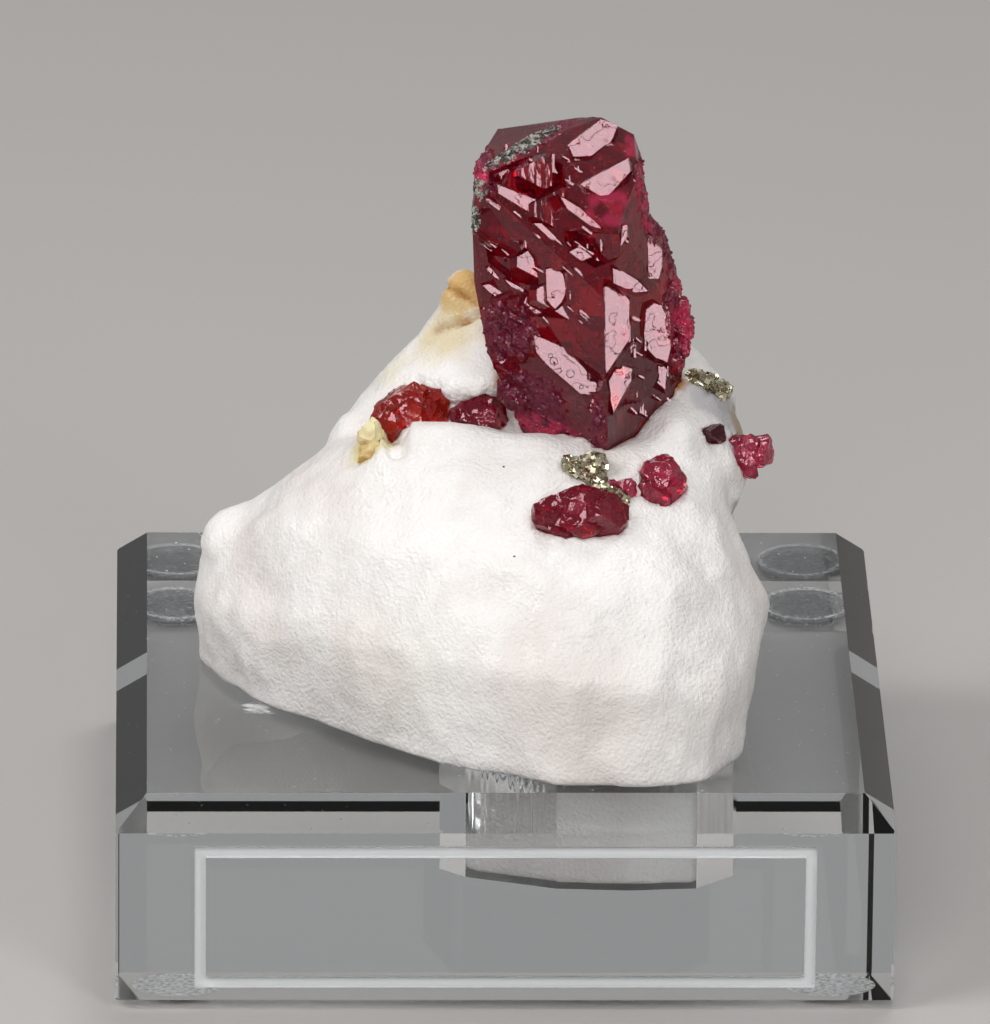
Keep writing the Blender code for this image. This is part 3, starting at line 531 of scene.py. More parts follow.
@dataclass(frozen=True)
class SpinelCrystal(Finish):
    """Red spinel: a clear dense crystal that swallows green light, deep red where thick."""

    name: str = "spinel_deep_red"
    body: Triple = (0.92, 0.03, 0.28)
    density: float = 420.0
    surface: str = "#C42A44"
    clear: float = 0.90
    gloss: float = 0.06
    frost: str = "#8A2A4C"
    frost_clear: float = 0.6
    frost_gloss: float = 0.26
    frost_pit: float = 0.30
    frost_depth: float = 0.12
    frost_strength: float = 0.8
    # Painted glow: a lighter pink where light shining through the crystal is painted on.
    painted_glow: str = "#D83862"
    glow_clear: float = 0.72
    glint: str = "#F4D0D8"
    sheen: float = 0.24
    ior: float = 1.718
    crack: float = 2.1
    crack_width: float = 0.006
    crack_depth: float = 0.025
    crack_strength: float = 0.9
    streak: float = 0.5
    streak_stretch: float = 0.08
    streak_depth: float = 0.03
    streak_strength: float = 0.5

    def material(self) -> Material:
        """Build the material.

        Returns:
            The crystal, which reads the point attributes "etch" and "glow".
        """
        material, tree, shader, place = self.start()
        etch, painted_glow = (add(tree, "ShaderNodeAttribute", attribute_name=mask).outputs["Fac"]
                      for mask in ("etch", "painted_glow"))
        clear = add(tree, "ShaderNodeMapRange", [etch, 0.0, 1.0, self.clear,
                                                 self.frost_clear])
        # Where the glow is painted on, the crystal is less clear, so the lighter pink shows.
        glow_clear_share = add(tree, "ShaderNodeMapRange", [painted_glow, 0.0, 1.0, 1.0, self.glow_clear])
        # The value under the link tells the export that light passes through.
        shader.inputs["Transmission Weight"].default_value = 1.0
        rough = add(tree, "ShaderNodeMapRange", [etch, 0.0, 1.0, self.gloss,
                                                 self.frost_gloss])
        feed(tree, shader, {
            "Transmission Weight": overlap(tree, clear, glow_clear_share),
            "Base Color": layered(tree, self.surface, (etch, self.frost), (painted_glow, self.painted_glow)),
            "Roughness": rough, "IOR": self.ior, "Specular IOR Level": self.sheen,
            "Specular Tint": linear(self.glint),
            "Normal": self.surface_bump(tree, place, etch)})
        absorb = add(tree, "ShaderNodeVolumeAbsorption", [(*self.body, 1.0), self.density])
        feed(tree, tree.nodes["Material Output"], {"Volume": absorb})
        return material

    def surface_bump(self, tree: Tree, place: Socket, etch: Socket) -> Node:
        """Raise growth streaks, thin cracks along a noise's level lines, and etched pits.

        Args:
            tree: The material's node tree.
            place: Object coordinates.
            etch: Where the surface is etched.

        Returns:
            The node that gives the normal.
        """
        waver = add(tree, "ShaderNodeTexNoise", {
            "Vector": place, "Scale": per(self.crack), "Detail": 3.0})
        level = add(tree, "ShaderNodeMath", [waver, MIDDLE], operation="SUBTRACT")
        side = add(tree, "ShaderNodeMath", [level], operation="ABSOLUTE")
        crack = add(tree, "ShaderNodeMapRange", [side, 0.0, self.crack_width])
        stretch = add(tree, "ShaderNodeVectorMath", [
            place, (1.0, 1.0, self.streak_stretch)], operation="MULTIPLY")
        lined = add(tree, "ShaderNodeTexNoise", {
            "Vector": stretch, "Scale": per(self.streak), "Detail": 1.0})
        pits = add(tree, "ShaderNodeTexNoise", {
            "Vector": place, "Scale": per(self.frost_pit), "Detail": 1.0})
        streaks = add(tree, "ShaderNodeBump", {
            "Height": lined, "Strength": self.streak_strength,
            "Distance": self.streak_depth * MM})
        cracks = add(tree, "ShaderNodeBump", {
            "Height": crack, "Strength": self.crack_strength,
            "Distance": self.crack_depth * MM, "Normal": streaks})
        return add(tree, "ShaderNodeBump", {
            "Height": overlap(tree, pits, etch), "Strength": self.frost_strength,
            "Distance": self.frost_depth * MM, "Normal": cracks})


@dataclass(frozen=True)
class ClearAcrylic(Finish):
    """Polished acrylic with a frosted engraved line and a milled, finely ribbed recess."""

    name: str = "acrylic_clear_polished"
    tint: str = "#FBFDFE"
    ior: float = 1.49
    roughness: Levels = (0.012, 0.6)
    frosted_clear: float = 0.30
    half_side: float = 35.0
    top: float = 20.0
    skin: float = 0.05
    line_start: float = 0.06
    line_depth: float = 0.62
    line_margin: float = 4.0
    line_heights: Levels = (1.2, 17.1)
    recess_half: float = 32.0
    recess_floor: float = 10.3
    rib: float = 0.45
    rib_stretch: float = 0.03
    rib_depth: float = 0.08
    rib_strength: float = 0.45
    foot_place: Triple = (29.4, 29.4, 1.0)
    foot_radius: float = 4.1
    glue_grain: float = 0.5
    glue_levels: Levels = (0.40, 0.58)
    glue_least: float = 0.25
    rim_width: float = 0.8
    rim_least: float = 0.05
    scuff_place: Triple = (-22.1, -11.8, 20.0)
    scuff_radius: float = 4.2
    scuff_turn: float = 0.6
    scuff_stretch: float = 0.35
    scuff_fibre: float = 0.6
    scuff_levels: Levels = (0.30, 0.40)
    dust_step: float = 0.9
    dust_size: float = 0.11
    dust_rarity: float = 0.62

    def material(self) -> Material:
        """Build the material.

        Returns:
            The acrylic, clear but for its line, glue, scuff and dust.
        """
        material, tree, shader, place = self.start()
        side, margin = self.half_side, self.line_margin
        line = box_mask(tree, place,
                        (margin - side, self.line_start - side, self.line_heights[0]),
                        (side - margin, self.line_depth - side, self.line_heights[1]))
        dull = add(tree, "ShaderNodeMath", [line, self.glue_mask(tree, place)],
                   operation="MAXIMUM")
        marks = add(tree, "ShaderNodeMath", [self.scuff_mask(tree, place),
                                             self.dust_mask(tree, place)],
                    operation="MAXIMUM")
        solid = add(tree, "ShaderNodeMath", [dull, marks], operation="MAXIMUM")
        clear = add(tree, "ShaderNodeMapRange", [solid, 0.0, 1.0, 1.0, self.frosted_clear])
        rough = add(tree, "ShaderNodeMapRange", [dull, 0.0, 1.0, *self.roughness])
        # The value under the link tells the export that light passes through.
        shader.inputs["Transmission Weight"].default_value = 1.0
        feed(tree, shader, {
            "Base Color": linear(self.tint), "IOR": self.ior, "Roughness": rough,
            "Transmission Weight": clear, "Normal": self.rib_bump(tree, place)})
        return material

    def glue_mask(self, tree: Tree, place: Socket) -> Source:
        """Mark grainy white where a foot is glued on, but at the back little but its rim.

        Args:
            tree: The material's node tree.
            place: Object coordinates.

        Returns:
            The mask.
        """
        folded = add(tree, "ShaderNodeVectorMath", [place], operation="ABSOLUTE")
        centre = tuple(c * MM for c in self.foot_place)
        far = add(tree, "ShaderNodeVectorMath", [folded, centre], operation="DISTANCE")
        disc = add(tree, "ShaderNodeMath", [far, self.foot_radius * MM],
                   operation="LESS_THAN")
        grain = add(tree, "ShaderNodeTexNoise", {
            "Vector": place, "Scale": per(self.glue_grain), "Detail": 2.0})
        speck = add(tree, "ShaderNodeMapRange", [grain, *self.glue_levels,
                                                 self.glue_least, 1.0])
        rim = add(tree, "ShaderNodeMapRange", [
            far, (self.foot_radius - self.rim_width) * MM, self.foot_radius * MM,
            self.rim_least, 1.0])
        depth = add(tree, "ShaderNodeSeparateXYZ", [place]).outputs["Y"]
        behind = add(tree, "ShaderNodeMath", [depth, 0.0], operation="GREATER_THAN")
        amount = add(tree, "ShaderNodeMix", {0: behind, 2: 1.0, 3: rim}, data_type="FLOAT")
        return overlap(tree, disc, speck, amount)

    def scuff_mask(self, tree: Tree, place: Socket) -> Source:
        """Mark a small feathery scuff on the top face, before the marble's left end.

        Args:
            tree: The material's node tree.
            place: Object coordinates.

        Returns:
            The mask.
        """
        centre = tuple(c * MM for c in self.scuff_place)
        far = add(tree, "ShaderNodeVectorMath", [place, centre], operation="DISTANCE")
        near = add(tree, "ShaderNodeMapRange", [far, self.scuff_radius * MM, 0.0])
        turned = add(tree, "ShaderNodeMapping", {
            "Vector": place, "Rotation": (0.0, 0.0, self.scuff_turn),
            "Scale": (self.scuff_stretch, 1.0, 1.0)})
        fibres = add(tree, "ShaderNodeTexNoise", {
            "Vector": turned, "Scale": per(self.scuff_fibre), "Detail": 3.0,
            "Roughness": 0.75})
        return add(tree, "ShaderNodeMapRange", [overlap(tree, fibres, near),
                                                *self.scuff_levels])

    def dust_mask(self, tree: Tree, place: Socket) -> Source:
        """Mark sparse specks on the top face.

        Args:
            tree: The material's node tree.
            place: Object coordinates.

        Returns:
            The mask.
        """
        cells = add(tree, "ShaderNodeTexVoronoi", {
            "Vector": place, "Scale": per(self.dust_step)})
        near = add(tree, "ShaderNodeMath", [cells, self.dust_size], operation="LESS_THAN")
        rare = add(tree, "ShaderNodeMath", [cells.outputs["Color"], self.dust_rarity],
                   operation="GREATER_THAN")
        height = add(tree, "ShaderNodeSeparateXYZ", [place]).outputs["Z"]
        top = add(tree, "ShaderNodeMath", [height, (self.top - self.skin) * MM],
                  operation="GREATER_THAN")
        return overlap(tree, near, top, rare)

    def rib_bump(self, tree: Tree, place: Socket) -> Node:
        """Raise upright cutter marks on the recess's walls.

        Args:
            tree: The material's node tree.
            place: Object coordinates.

        Returns:
            The node that gives the normal.
        """
        stretch = add(tree, "ShaderNodeVectorMath", [place, (1.0, 1.0, self.rib_stretch)],
                      operation="MULTIPLY")
        ribs = add(tree, "ShaderNodeTexNoise", {
            "Vector": stretch, "Scale": per(self.rib), "Detail": 0.0})
        half = self.recess_half
        recess = box_mask(tree, place, (-half, -half, self.recess_floor),
                          (half, half, self.top - self.skin))
        return add(tree, "ShaderNodeBump", {
            "Height": overlap(tree, ribs, recess), "Strength": self.rib_strength,
            "Distance": self.rib_depth * MM})


@dataclass(frozen=True)
class ClearFoot(Finish):
    """Clear soft polyurethane, moulded, with a slightly cloudy skin."""

    name: str = "polyurethane_clear_foot"
    tint: str = "#F2F5F6"
    clear: float = 0.85
    ior: float = 1.50
    cloud: float = 0.6
    cloud_levels: Levels = (0.4, 0.7)
    roughness: Levels = (0.08, 0.4)

    def material(self) -> Material:
        """Build the material.

        Returns:
            The clear polyurethane.
        """
        material, tree, shader, place = self.start()
        cloud = add(tree, "ShaderNodeTexNoise", {
            "Vector": place, "Scale": per(self.cloud), "Detail": 4.0})
        rough = add(tree, "ShaderNodeMapRange", [cloud, *self.cloud_levels,
                                                 *self.roughness])
        feed(tree, shader, {"Roughness": rough, "Base Color": linear(self.tint),
                            "IOR": self.ior, "Transmission Weight": self.clear})
        return material


@dataclass(frozen=True)
class Pyrite(Finish):
    """Pale brass-coloured pyrite grains, dulled by tarnish between the bright faces."""

    name: str = "pyrite_tarnished"
    bright: str = "#E6DFC8"
    dull: str = "#8A846C"
    grain: float = 0.5
    roughness: Levels = (0.14, 0.42)

    def material(self) -> Material:
        """Build the material.

        Returns:
            The metallic grains' material.
        """
        material, tree, shader, place = self.start()
        tarnish = add(tree, "ShaderNodeTexVoronoi", {
            "Vector": place, "Scale": per(self.grain)}).outputs["Color"]
        rough = add(tree, "ShaderNodeMapRange", [tarnish, 0.0, 1.0, *self.roughness])
        feed(tree, shader, {"Base Color": layered(tree, self.bright, (tarnish, self.dull)),
                            "Roughness": rough, "Metallic": 1.0})
        return material


@dataclass(frozen=True)
class YellowMineral(Finish):
    """A stained calcite grain, pale yellow above and ochre below."""

    name: str = "calcite_yellow_stained"
    pale: str = "#E9DDAE"
    ochre: str = "#CB9432"
    roughness: float = 0.42
    heights: Levels = (42.8, 46.6)
    cloud: float = 0.7
    cloud_reach: float = 2.4
    bump_depth: float = 0.15
    bump_strength: float = 0.7

    def material(self) -> Material:
        """Build the material.

        Returns:
            The stained calcite.
        """
        material, tree, shader, place = self.start()
        cloud = add(tree, "ShaderNodeTexNoise", {
            "Vector": place, "Scale": per(self.cloud), "Detail": 4.0})
        height = add(tree, "ShaderNodeSeparateXYZ", [place]).outputs["Z"]
        ragged = add(tree, "ShaderNodeMath", [cloud, self.cloud_reach * MM, height],
                     operation="MULTIPLY_ADD")
        upper = add(tree, "ShaderNodeMapRange", [
            ragged, self.heights[0] * MM, self.heights[1] * MM])
        bump = add(tree, "ShaderNodeBump", {
            "Height": cloud, "Strength": self.bump_strength,
            "Distance": self.bump_depth * MM})
        feed(tree, shader, {"Base Color": layered(tree, self.ochre, (upper, self.pale)),
                            "Normal": bump, "Roughness": self.roughness})
        return material


@dataclass(frozen=True)
class CrustMineral(Finish):
    """A dark green-grey granular coat with pale grains in it."""

    name: str = "chlorite_crust"
    dark: str = "#2C322A"
    pale: str = "#A9A9A0"
    roughness: float = 0.35
    grain: float = 0.45
    grain_levels: Levels = (0.35, 0.75)

    def material(self) -> Material:
        """Build the material.

        Returns:
            The crust's material.
        """
        material, tree, shader, place = self.start()
        cells = add(tree, "ShaderNodeTexVoronoi", {
            "Vector": place, "Scale": per(self.grain)}).outputs["Color"]
        share = add(tree, "ShaderNodeMapRange", [cells, *self.grain_levels])
        feed(tree, shader, {"Base Color": layered(tree, self.dark, (share, self.pale)),
                            "Roughness": self.roughness})
        return material


@dataclass(frozen=True)
class EvenCoat(Finish):
    """One even colour and gloss, for what has no pattern of its own."""

    name: str
    colour: str
    roughness: float

    def material(self) -> Material:
        """Build the material.

        Returns:
            The even material.
        """
        material, tree, shader, _ = self.start()
        feed(tree, shader, {"Base Color": linear(self.colour), "Roughness": self.roughness})
        return material


# The rim of an etch mark, painted dark plum as shade where light is lost.
ETCH_RING_SHADE = EvenCoat("spinel_etch_ring_shade", "#3C1A26", 0.4)
# Matt off-white card under the specimen.
FLOOR_CARD = EvenCoat("floor_matt_white", "#BAB7B4", 0.8)


class Tone(Enum):
    """The colours that the small crystals come in."""

    DARK = SpinelCrystal(name="spinel_dark_small", density=2200.0, surface="#7A1A34")
    RED = SpinelCrystal(name="spinel_red", density=480.0, surface="#C42048",
                        frost="#B01C40", clear=0.86)
    ORANGE = SpinelCrystal(name="spinel_orange_red", body=(0.96, 0.06, 0.05),
                           surface="#DE3826", frost="#E05038", clear=0.82)
    PINK = SpinelCrystal(name="spinel_pink", body=(0.95, 0.12, 0.42), density=480.0,
                         surface="#E2587E", frost="#DE4C78", clear=0.86)


class GrainShape(Enum):
    """The form of a scattered grain."""

    ROUND = "GeometryNodeMeshIcoSphere"
    BLOCK = "GeometryNodeMeshCube"


@dataclass(frozen=True)
class Scatter:
    """Small grains spread over a surface by Geometry Nodes."""

    name: str
    shape: GrainShape
    per_square: float
    sizes: Levels
    seed: int
    mask: str
    flat: float = 1.0

    def tree(self, material: Material) -> tuple[Tree, dict[str, str]]:
        """Build the node tree.

        Args:
            material: What the grains are made of.

        Returns:
            The tree, and its inputs' names with their identifiers.
        """
        tree = bpy.data.node_groups.new(self.name + "_nodes", "GeometryNodeTree")
        side = tree.interface
        side.new_socket("Geometry", in_out="INPUT", socket_type="NodeSocketGeometry")
        side.new_socket("Geometry", in_out="OUTPUT", socket_type="NodeSocketGeometry")
        kinds = dict.fromkeys(("Density", "Smallest", "Largest", "Flatness"),
                              "NodeSocketFloat")
        kinds["Seed"] = "NodeSocketInt"
        sockets = {label: side.new_socket(label, in_out="INPUT", socket_type=kind).identifier
                   for label, kind in kinds.items()}
        given = add(tree, "NodeGroupInput").outputs
        mask = add(tree, "GeometryNodeInputNamedAttribute", {"Name": self.mask},
                   data_type="FLOAT")
        amount = add(tree, "ShaderNodeMath", [mask.outputs["Attribute"], given["Density"]],
                     operation="MULTIPLY")
        points = add(tree, "GeometryNodeDistributePointsOnFaces", {
            "Mesh": given["Geometry"], "Density": amount, "Seed": given["Seed"]})
        squash = add(tree, "ShaderNodeCombineXYZ", [1.0, 1.0, given["Flatness"]])
        flat = add(tree, "GeometryNodeTransform", {
            "Geometry": add(tree, self.shape.value), "Scale": squash})
        turn = add(tree, "FunctionNodeRandomValue", {
            0: (0.0,) * 3, 1: (math.tau,) * 3, "Seed": given["Seed"]},
                   data_type="FLOAT_VECTOR")
        size = add(tree, "FunctionNodeRandomValue", {
            2: given["Smallest"], 3: given["Largest"], "Seed": given["Seed"]},
                   data_type="FLOAT")
        placed = add(tree, "GeometryNodeInstanceOnPoints", {
            "Points": points, "Instance": flat, "Rotation": turn, "Scale": size})
        real = add(tree, "GeometryNodeRealizeInstances", [placed])
        finish = add(tree, "GeometryNodeSetMaterial", {"Geometry": real,
                                                       "Material": material})
        add(tree, "NodeGroupOutput", [finish])
        return tree, sockets

    def over(self, carrier: Object, material: Material) -> Object:
        """Spread the grains over a carrier's surface.

        Args:
            carrier: Mesh that has the mask as a point attribute.
            material: What the grains are made of.

        Returns:
            The grains alone, as one plain mesh.
        """
        tree, sockets = self.tree(material)
        grains = bpy.data.objects.new(self.name, carrier.data.copy())
        bpy.context.scene.collection.objects.link(grains)
        modifier = grains.modifiers.new("grains", "NODES")
        modifier.node_group = tree
        smallest, largest = self.sizes
        values = {"Density": self.per_square / MM ** 2, "Smallest": smallest * MM,
                  "Largest": largest * MM, "Flatness": self.flat, "Seed": self.seed}
        for label, value in values.items():
            modifier[sockets[label]] = value
        bake(grains)
        return grains


@dataclass(frozen=True)
class Zone:
    """An ellipse in the display view, by its centre, half sizes and lean in degrees."""

    across: float
    up: float
    half_across: float
    half_up: float
    lean: float = 0.0
    fade: Levels = (0.7, 1.15)

    def share(self, across: float, up: float) -> float:
        """Tell how far a place lies in the ellipse.

        Args:
            across: The place, to the right in the view.
            up: The place, upwards in the view.

        Returns:
            1 well inside the ellipse, 0 outside it.
        """
        x, y = across - self.across, up - self.up
        turn = math.radians(self.lean)
        along = (x * math.cos(turn) + y * math.sin(turn)) / self.half_across
        beside = (y * math.cos(turn) - x * math.sin(turn)) / self.half_up
        return 1.0 - smooth_step(*self.fade, math.hypot(along, beside))


@dataclass
class StepSlivers:
    """Narrow steps on the large crystal that shine together with its growth faces.

    Their face is told by its share to the right, up and towards the viewer. A spot whose
    own face lies within bright_face of that already shines and gets no step.
    """

    face: Triple = (0.22, 0.08, 0.972)
    bright_face: float = 0.93
    count: int = 84
    lengths: Levels = (0.5, 1.7)
    widths: Levels = (0.09, 0.24)
    rise: float = 0.08
    depth: float = 0.7
    lean: Levels = (-46.0, -24.0)
    upright_lean: float = 90.0
    upright_share: float = 0.3
    seed: int = 7
    fields: tuple[Zone, ...] = (
        Zone(1.8, 25.4, 2.8, 2.6),
        Zone(8.2, 24.6, 3.6, 2.0),
        Zone(6.6, 19.6, 2.6, 2.6),
        Zone(4.4, 31.4, 3.4, 2.2),
        Zone(14.2, 11.6, 2.0, 3.0),
        Zone(13.4, 17.0, 1.6, 3.4),
    )

    def build(self, crystal: Object) -> Object:
        """Set the steps on the crystal, where the display view sees its dark faces.

        Args:
            crystal: The large crystal.

        Returns:
            The steps, as one mesh of closed slivers sunk into the crystal.
        """
        rng = random.Random(self.seed)
        tree = search_tree(crystal)
        right, up, toward = VIEW.axes
        normal = (right * self.face[0] + up * self.face[1] + toward * self.face[2]).normalized()
        bm = bmesh.new()
        for index in range(self.count):
            zone = self.fields[index % len(self.fields)]
            across = zone.across + rng.uniform(-1.0, 1.0) * zone.half_across
            height = zone.up + rng.uniform(-1.0, 1.0) * zone.half_up
            upright = rng.random() < self.upright_share
            lean = math.radians(self.upright_lean if upright else rng.uniform(*self.lean))
            length, width = rng.uniform(*self.lengths), rng.uniform(*self.widths)
            hit, outward = tree.ray_cast(VIEW.spot(across, height, RAY_START), -toward)[:2]
            if hit is None or outward.dot(normal) > self.bright_face:
                continue
            along = right * math.cos(lean) + up * math.sin(lean)
            along = (along - normal * along.dot(normal)).normalized()
            rows = [along * length, normal.cross(along) * width,
                    normal * (self.rise + self.depth)]
            turn = Matrix([[row[i] * MM for row in rows] for i in range(3)]).to_4x4()
            centre = hit + normal * ((self.rise - self.depth) / 2 * MM)
            bmesh.ops.create_cube(bm, size=1.0, matrix=Matrix.Translation(centre) @ turn)
        bmesh.ops.recalc_face_normals(bm, faces=bm.faces)
        return new_object("large_spinel_steps", bm)


@dataclass
class EtchRings:
    """Ring-shaped etch marks on the long bright strip, by place in the view and radius."""

    marks: tuple[Triple, ...] = (
        (5.3, 13.6, 0.34), (5.0, 14.1, 0.20), (6.8, 12.5, 0.36), (7.8, 11.3, 0.18))
    thick: float = 0.035
    sides: int = 26
    round_sides: int = 6

    def build(self, crystal: Object) -> Object:
        """Lay a thin ring on the crystal's surface at each mark.

        Args:
            crystal: The large crystal.

        Returns:
            The rings, as one mesh.
        """
        tree = search_tree(crystal)
        right, _, toward = VIEW.axes
        bm = bmesh.new()
        for across, height, radius in self.marks:
            hit, normal = tree.ray_cast(VIEW.spot(across, height, RAY_START), -toward)[:2]
            first = (right - normal * right.dot(normal)).normalized()
            second = normal.cross(first)
            loops = []
            for side in range(self.sides):
                turn = math.tau * side / self.sides
                arm = first * math.cos(turn) + second * math.sin(turn)
                loop = []
                for step in range(self.round_sides):
                    angle = math.tau * step / self.round_sides
                    reach = radius + self.thick * math.cos(angle)
                    loop.append(bm.verts.new(hit + (arm * reach + normal * self.thick
                                                    * math.sin(angle)) * MM))
                loops.append(loop)
            for side, loop in enumerate(loops):
                after = loops[(side + 1) % self.sides]
                for step in range(self.round_sides):
                    higher = (step + 1) % self.round_sides
                    bm.faces.new((loop[step], after[step], after[higher], loop[higher]))
        bmesh.ops.recalc_face_normals(bm, faces=bm.faces)
        return new_object("large_spinel_rings", bm)


@dataclass
class LargeSpinel:
    """The stepped dark-red crystal, its rough zones and its dark crust."""

    edge: float = 0.34
    ripple: float = 0.24
    ripple_waves: Waves = Waves(2.2)
    flat_above: float = 0.35
    seen_gain: float = 4.0
    seen_levels: Levels = (-2.0, 1.0)
    back_waves: Waves = Waves(0.22)
    back_levels: Levels = (0.05, 0.4)
    etch_waves: Waves = Waves(1.3, (3.0, 1.0, 7.0))
    etch_base: float = 0.6
    etch_swing: float = 0.8
    etch_gain: float = 1.5
    glow_waves: Waves = Waves(0.8)
    glow_levels: Levels = (-0.35, 0.15)
    sugar: Scatter = Scatter("large_spinel_sugar", GrainShape.BLOCK, 3.0, (0.09, 0.26),
                             11, "etch")
    coat: Scatter = Scatter("large_spinel_crust", GrainShape.ROUND, 40.0, (0.06, 0.17),
                            5, "crust")
    etched: tuple[Zone, ...] = (
        Zone(1.1, 16.4, 2.8, 2.9),
        Zone(3.2, 10.6, 3.5, 2.4, -20.0),
        Zone(4.6, 7.6, 4.4, 1.8, -25.0),
        Zone(17.0, 17.3, 1.5, 5.4, 8.0),
        Zone(13.9, 28.4, 1.1, 4.6, 8.0),
        Zone(9.3, 7.8, 0.8, 2.8),
        Zone(-0.9, 30.8, 1.2, 2.6),
        Zone(3.4, 33.4, 4.6, 0.7, 30.0),
        Zone(16.0, 24.0, 0.8, 2.6, 10.0),
    )
    # Zones where light shining through the crystal is painted on as a lighter glow.
    painted_glow_zones: tuple[Zone, ...] = (
        Zone(10.2, 27.3, 2.6, 2.0),
        Zone(1.4, 30.9, 1.7, 1.5),
        Zone(17.0, 17.5, 1.3, 5.0),
        Zone(4.8, 7.2, 4.0, 1.3, -25.0),
        Zone(-1.4, 30.2, 0.9, 1.6),
        Zone(12.3, 33.2, 0.7, 1.6),
        Zone(13.6, 28.2, 0.8, 3.4, 8.0),
        Zone(11.7, 18.0, 0.5, 3.0),
    )
    crusts: tuple[Zone, ...] = (
        Zone(2.3, 32.9, 3.9, 0.55, 31.0),
        Zone(-1.3, 29.2, 0.6, 1.0),
        Zone(-1.9, 26.5, 0.6, 1.3),
    )

    def build(self) -> Object:
        """Refine the crystal, roughen its etched zones and store their masks.

        Returns:
            The crystal, with its masks "etch", "crust" and "glow".
        """
        crystal = merged_copy("large_spinel", "large_spinel_crystal")
        refine(crystal, self.edge)
        etch, crust, painted_glow, moves = [], [], [], []
        toward = VIEW.axes[2]
        for vert in crystal.data.vertices:
            across, up, _ = VIEW.place_of(vert.co)
            seen = smooth_step(*self.seen_levels, vert.normal.dot(toward) * self.seen_gain)
            etched, coated, thin = (max(zone.share(across, up) for zone in zones) * seen
                                    for zones in (self.etched, self.crusts, self.painted_glow_zones))
            hidden = smooth_step(*self.back_levels, self.back_waves.at(vert.co)) * (1.0 - seen)
            grain = self.etch_base + self.etch_swing * self.etch_waves.at(vert.co)
            rough = min(1.0, max(0.0, max(etched, hidden) * grain * self.etch_gain))
            etch.append(rough)
            crust.append(coated)
            painted_glow.append(thin * smooth_step(*self.glow_levels, self.glow_waves.at(vert.co)))
            fine = self.ripple_waves.at(vert.co)
            moves.append(vert.normal * (fine * rough * self.ripple * MM))
        move_points(crystal, moves)
        for face in crystal.data.polygons:
            if min(etch[corner] for corner in face.vertices) > self.flat_above:
                face.use_smooth = False
        for name, values in (("etch", etch), ("crust", crust), ("painted_glow", painted_glow)):
            write_mask(crystal, name, values)
        return crystal

    def grow(self, crystal: Object) -> None:
        """Dress the crystal, and grow its sugar, crust, narrow steps and etch marks.

        Args:
            crystal: The large crystal, with its masks.
        """
        red = SpinelCrystal().material()
        coating = CrustMineral().material()
        grains = self.sugar.over(crystal, red)
        crust = self.coat.over(crystal, coating)
        dress(StepSlivers().build(crystal), red, "spinel_dark")
        # The etch rings get a painted dark shade.
        dress(EtchRings().build(crystal), ETCH_RING_SHADE.material(), "spinel_dark")
        dress(crystal, red, "spinel_dark", "large_spinel")
        dress(grains, red, "spinel_dark")
        dress(crust, coating, "marble")


@dataclass
class SmallSpinel:
    """One of the small crystals set in the marble."""

    node: str
    edge: float = 0.3
    ripple: float = 0.12
    ripple_waves: Waves = Waves(1.1)
    step: float = 0.20
    steps_per_wave: float = 2.0
    step_waves: Waves = Waves(0.6, (6.0, 2.0, 4.0))
    etched: float = 0.5
    etch_waves: Waves = Waves(0.7, (1.0, 5.0, 2.0))
    etch_levels: Levels = (0.0, 0.4)

    def build(self) -> Object:
        """Refine the crystal, and give it light ripples and growth steps.

        Returns:
            The crystal, with its mask "etch".
        """
        crystal = merged_copy(self.node, self.node + "_crystal")
        refine(crystal, self.edge)
        etch, moves = [], []
        for vert in crystal.data.vertices:
            patch = self.etch_waves.at(vert.co)
            etch.append(self.etched * smooth_step(*self.etch_levels, patch))
            fine = self.ripple_waves.at(vert.co)
            stair = round(self.steps_per_wave * self.step_waves.at(vert.co))
            stair /= self.steps_per_wave
            moves.append(vert.normal * ((fine * self.ripple + stair * self.step) * MM))
        move_points(crystal, moves)
        write_mask(crystal, "etch", etch)
        return crystal


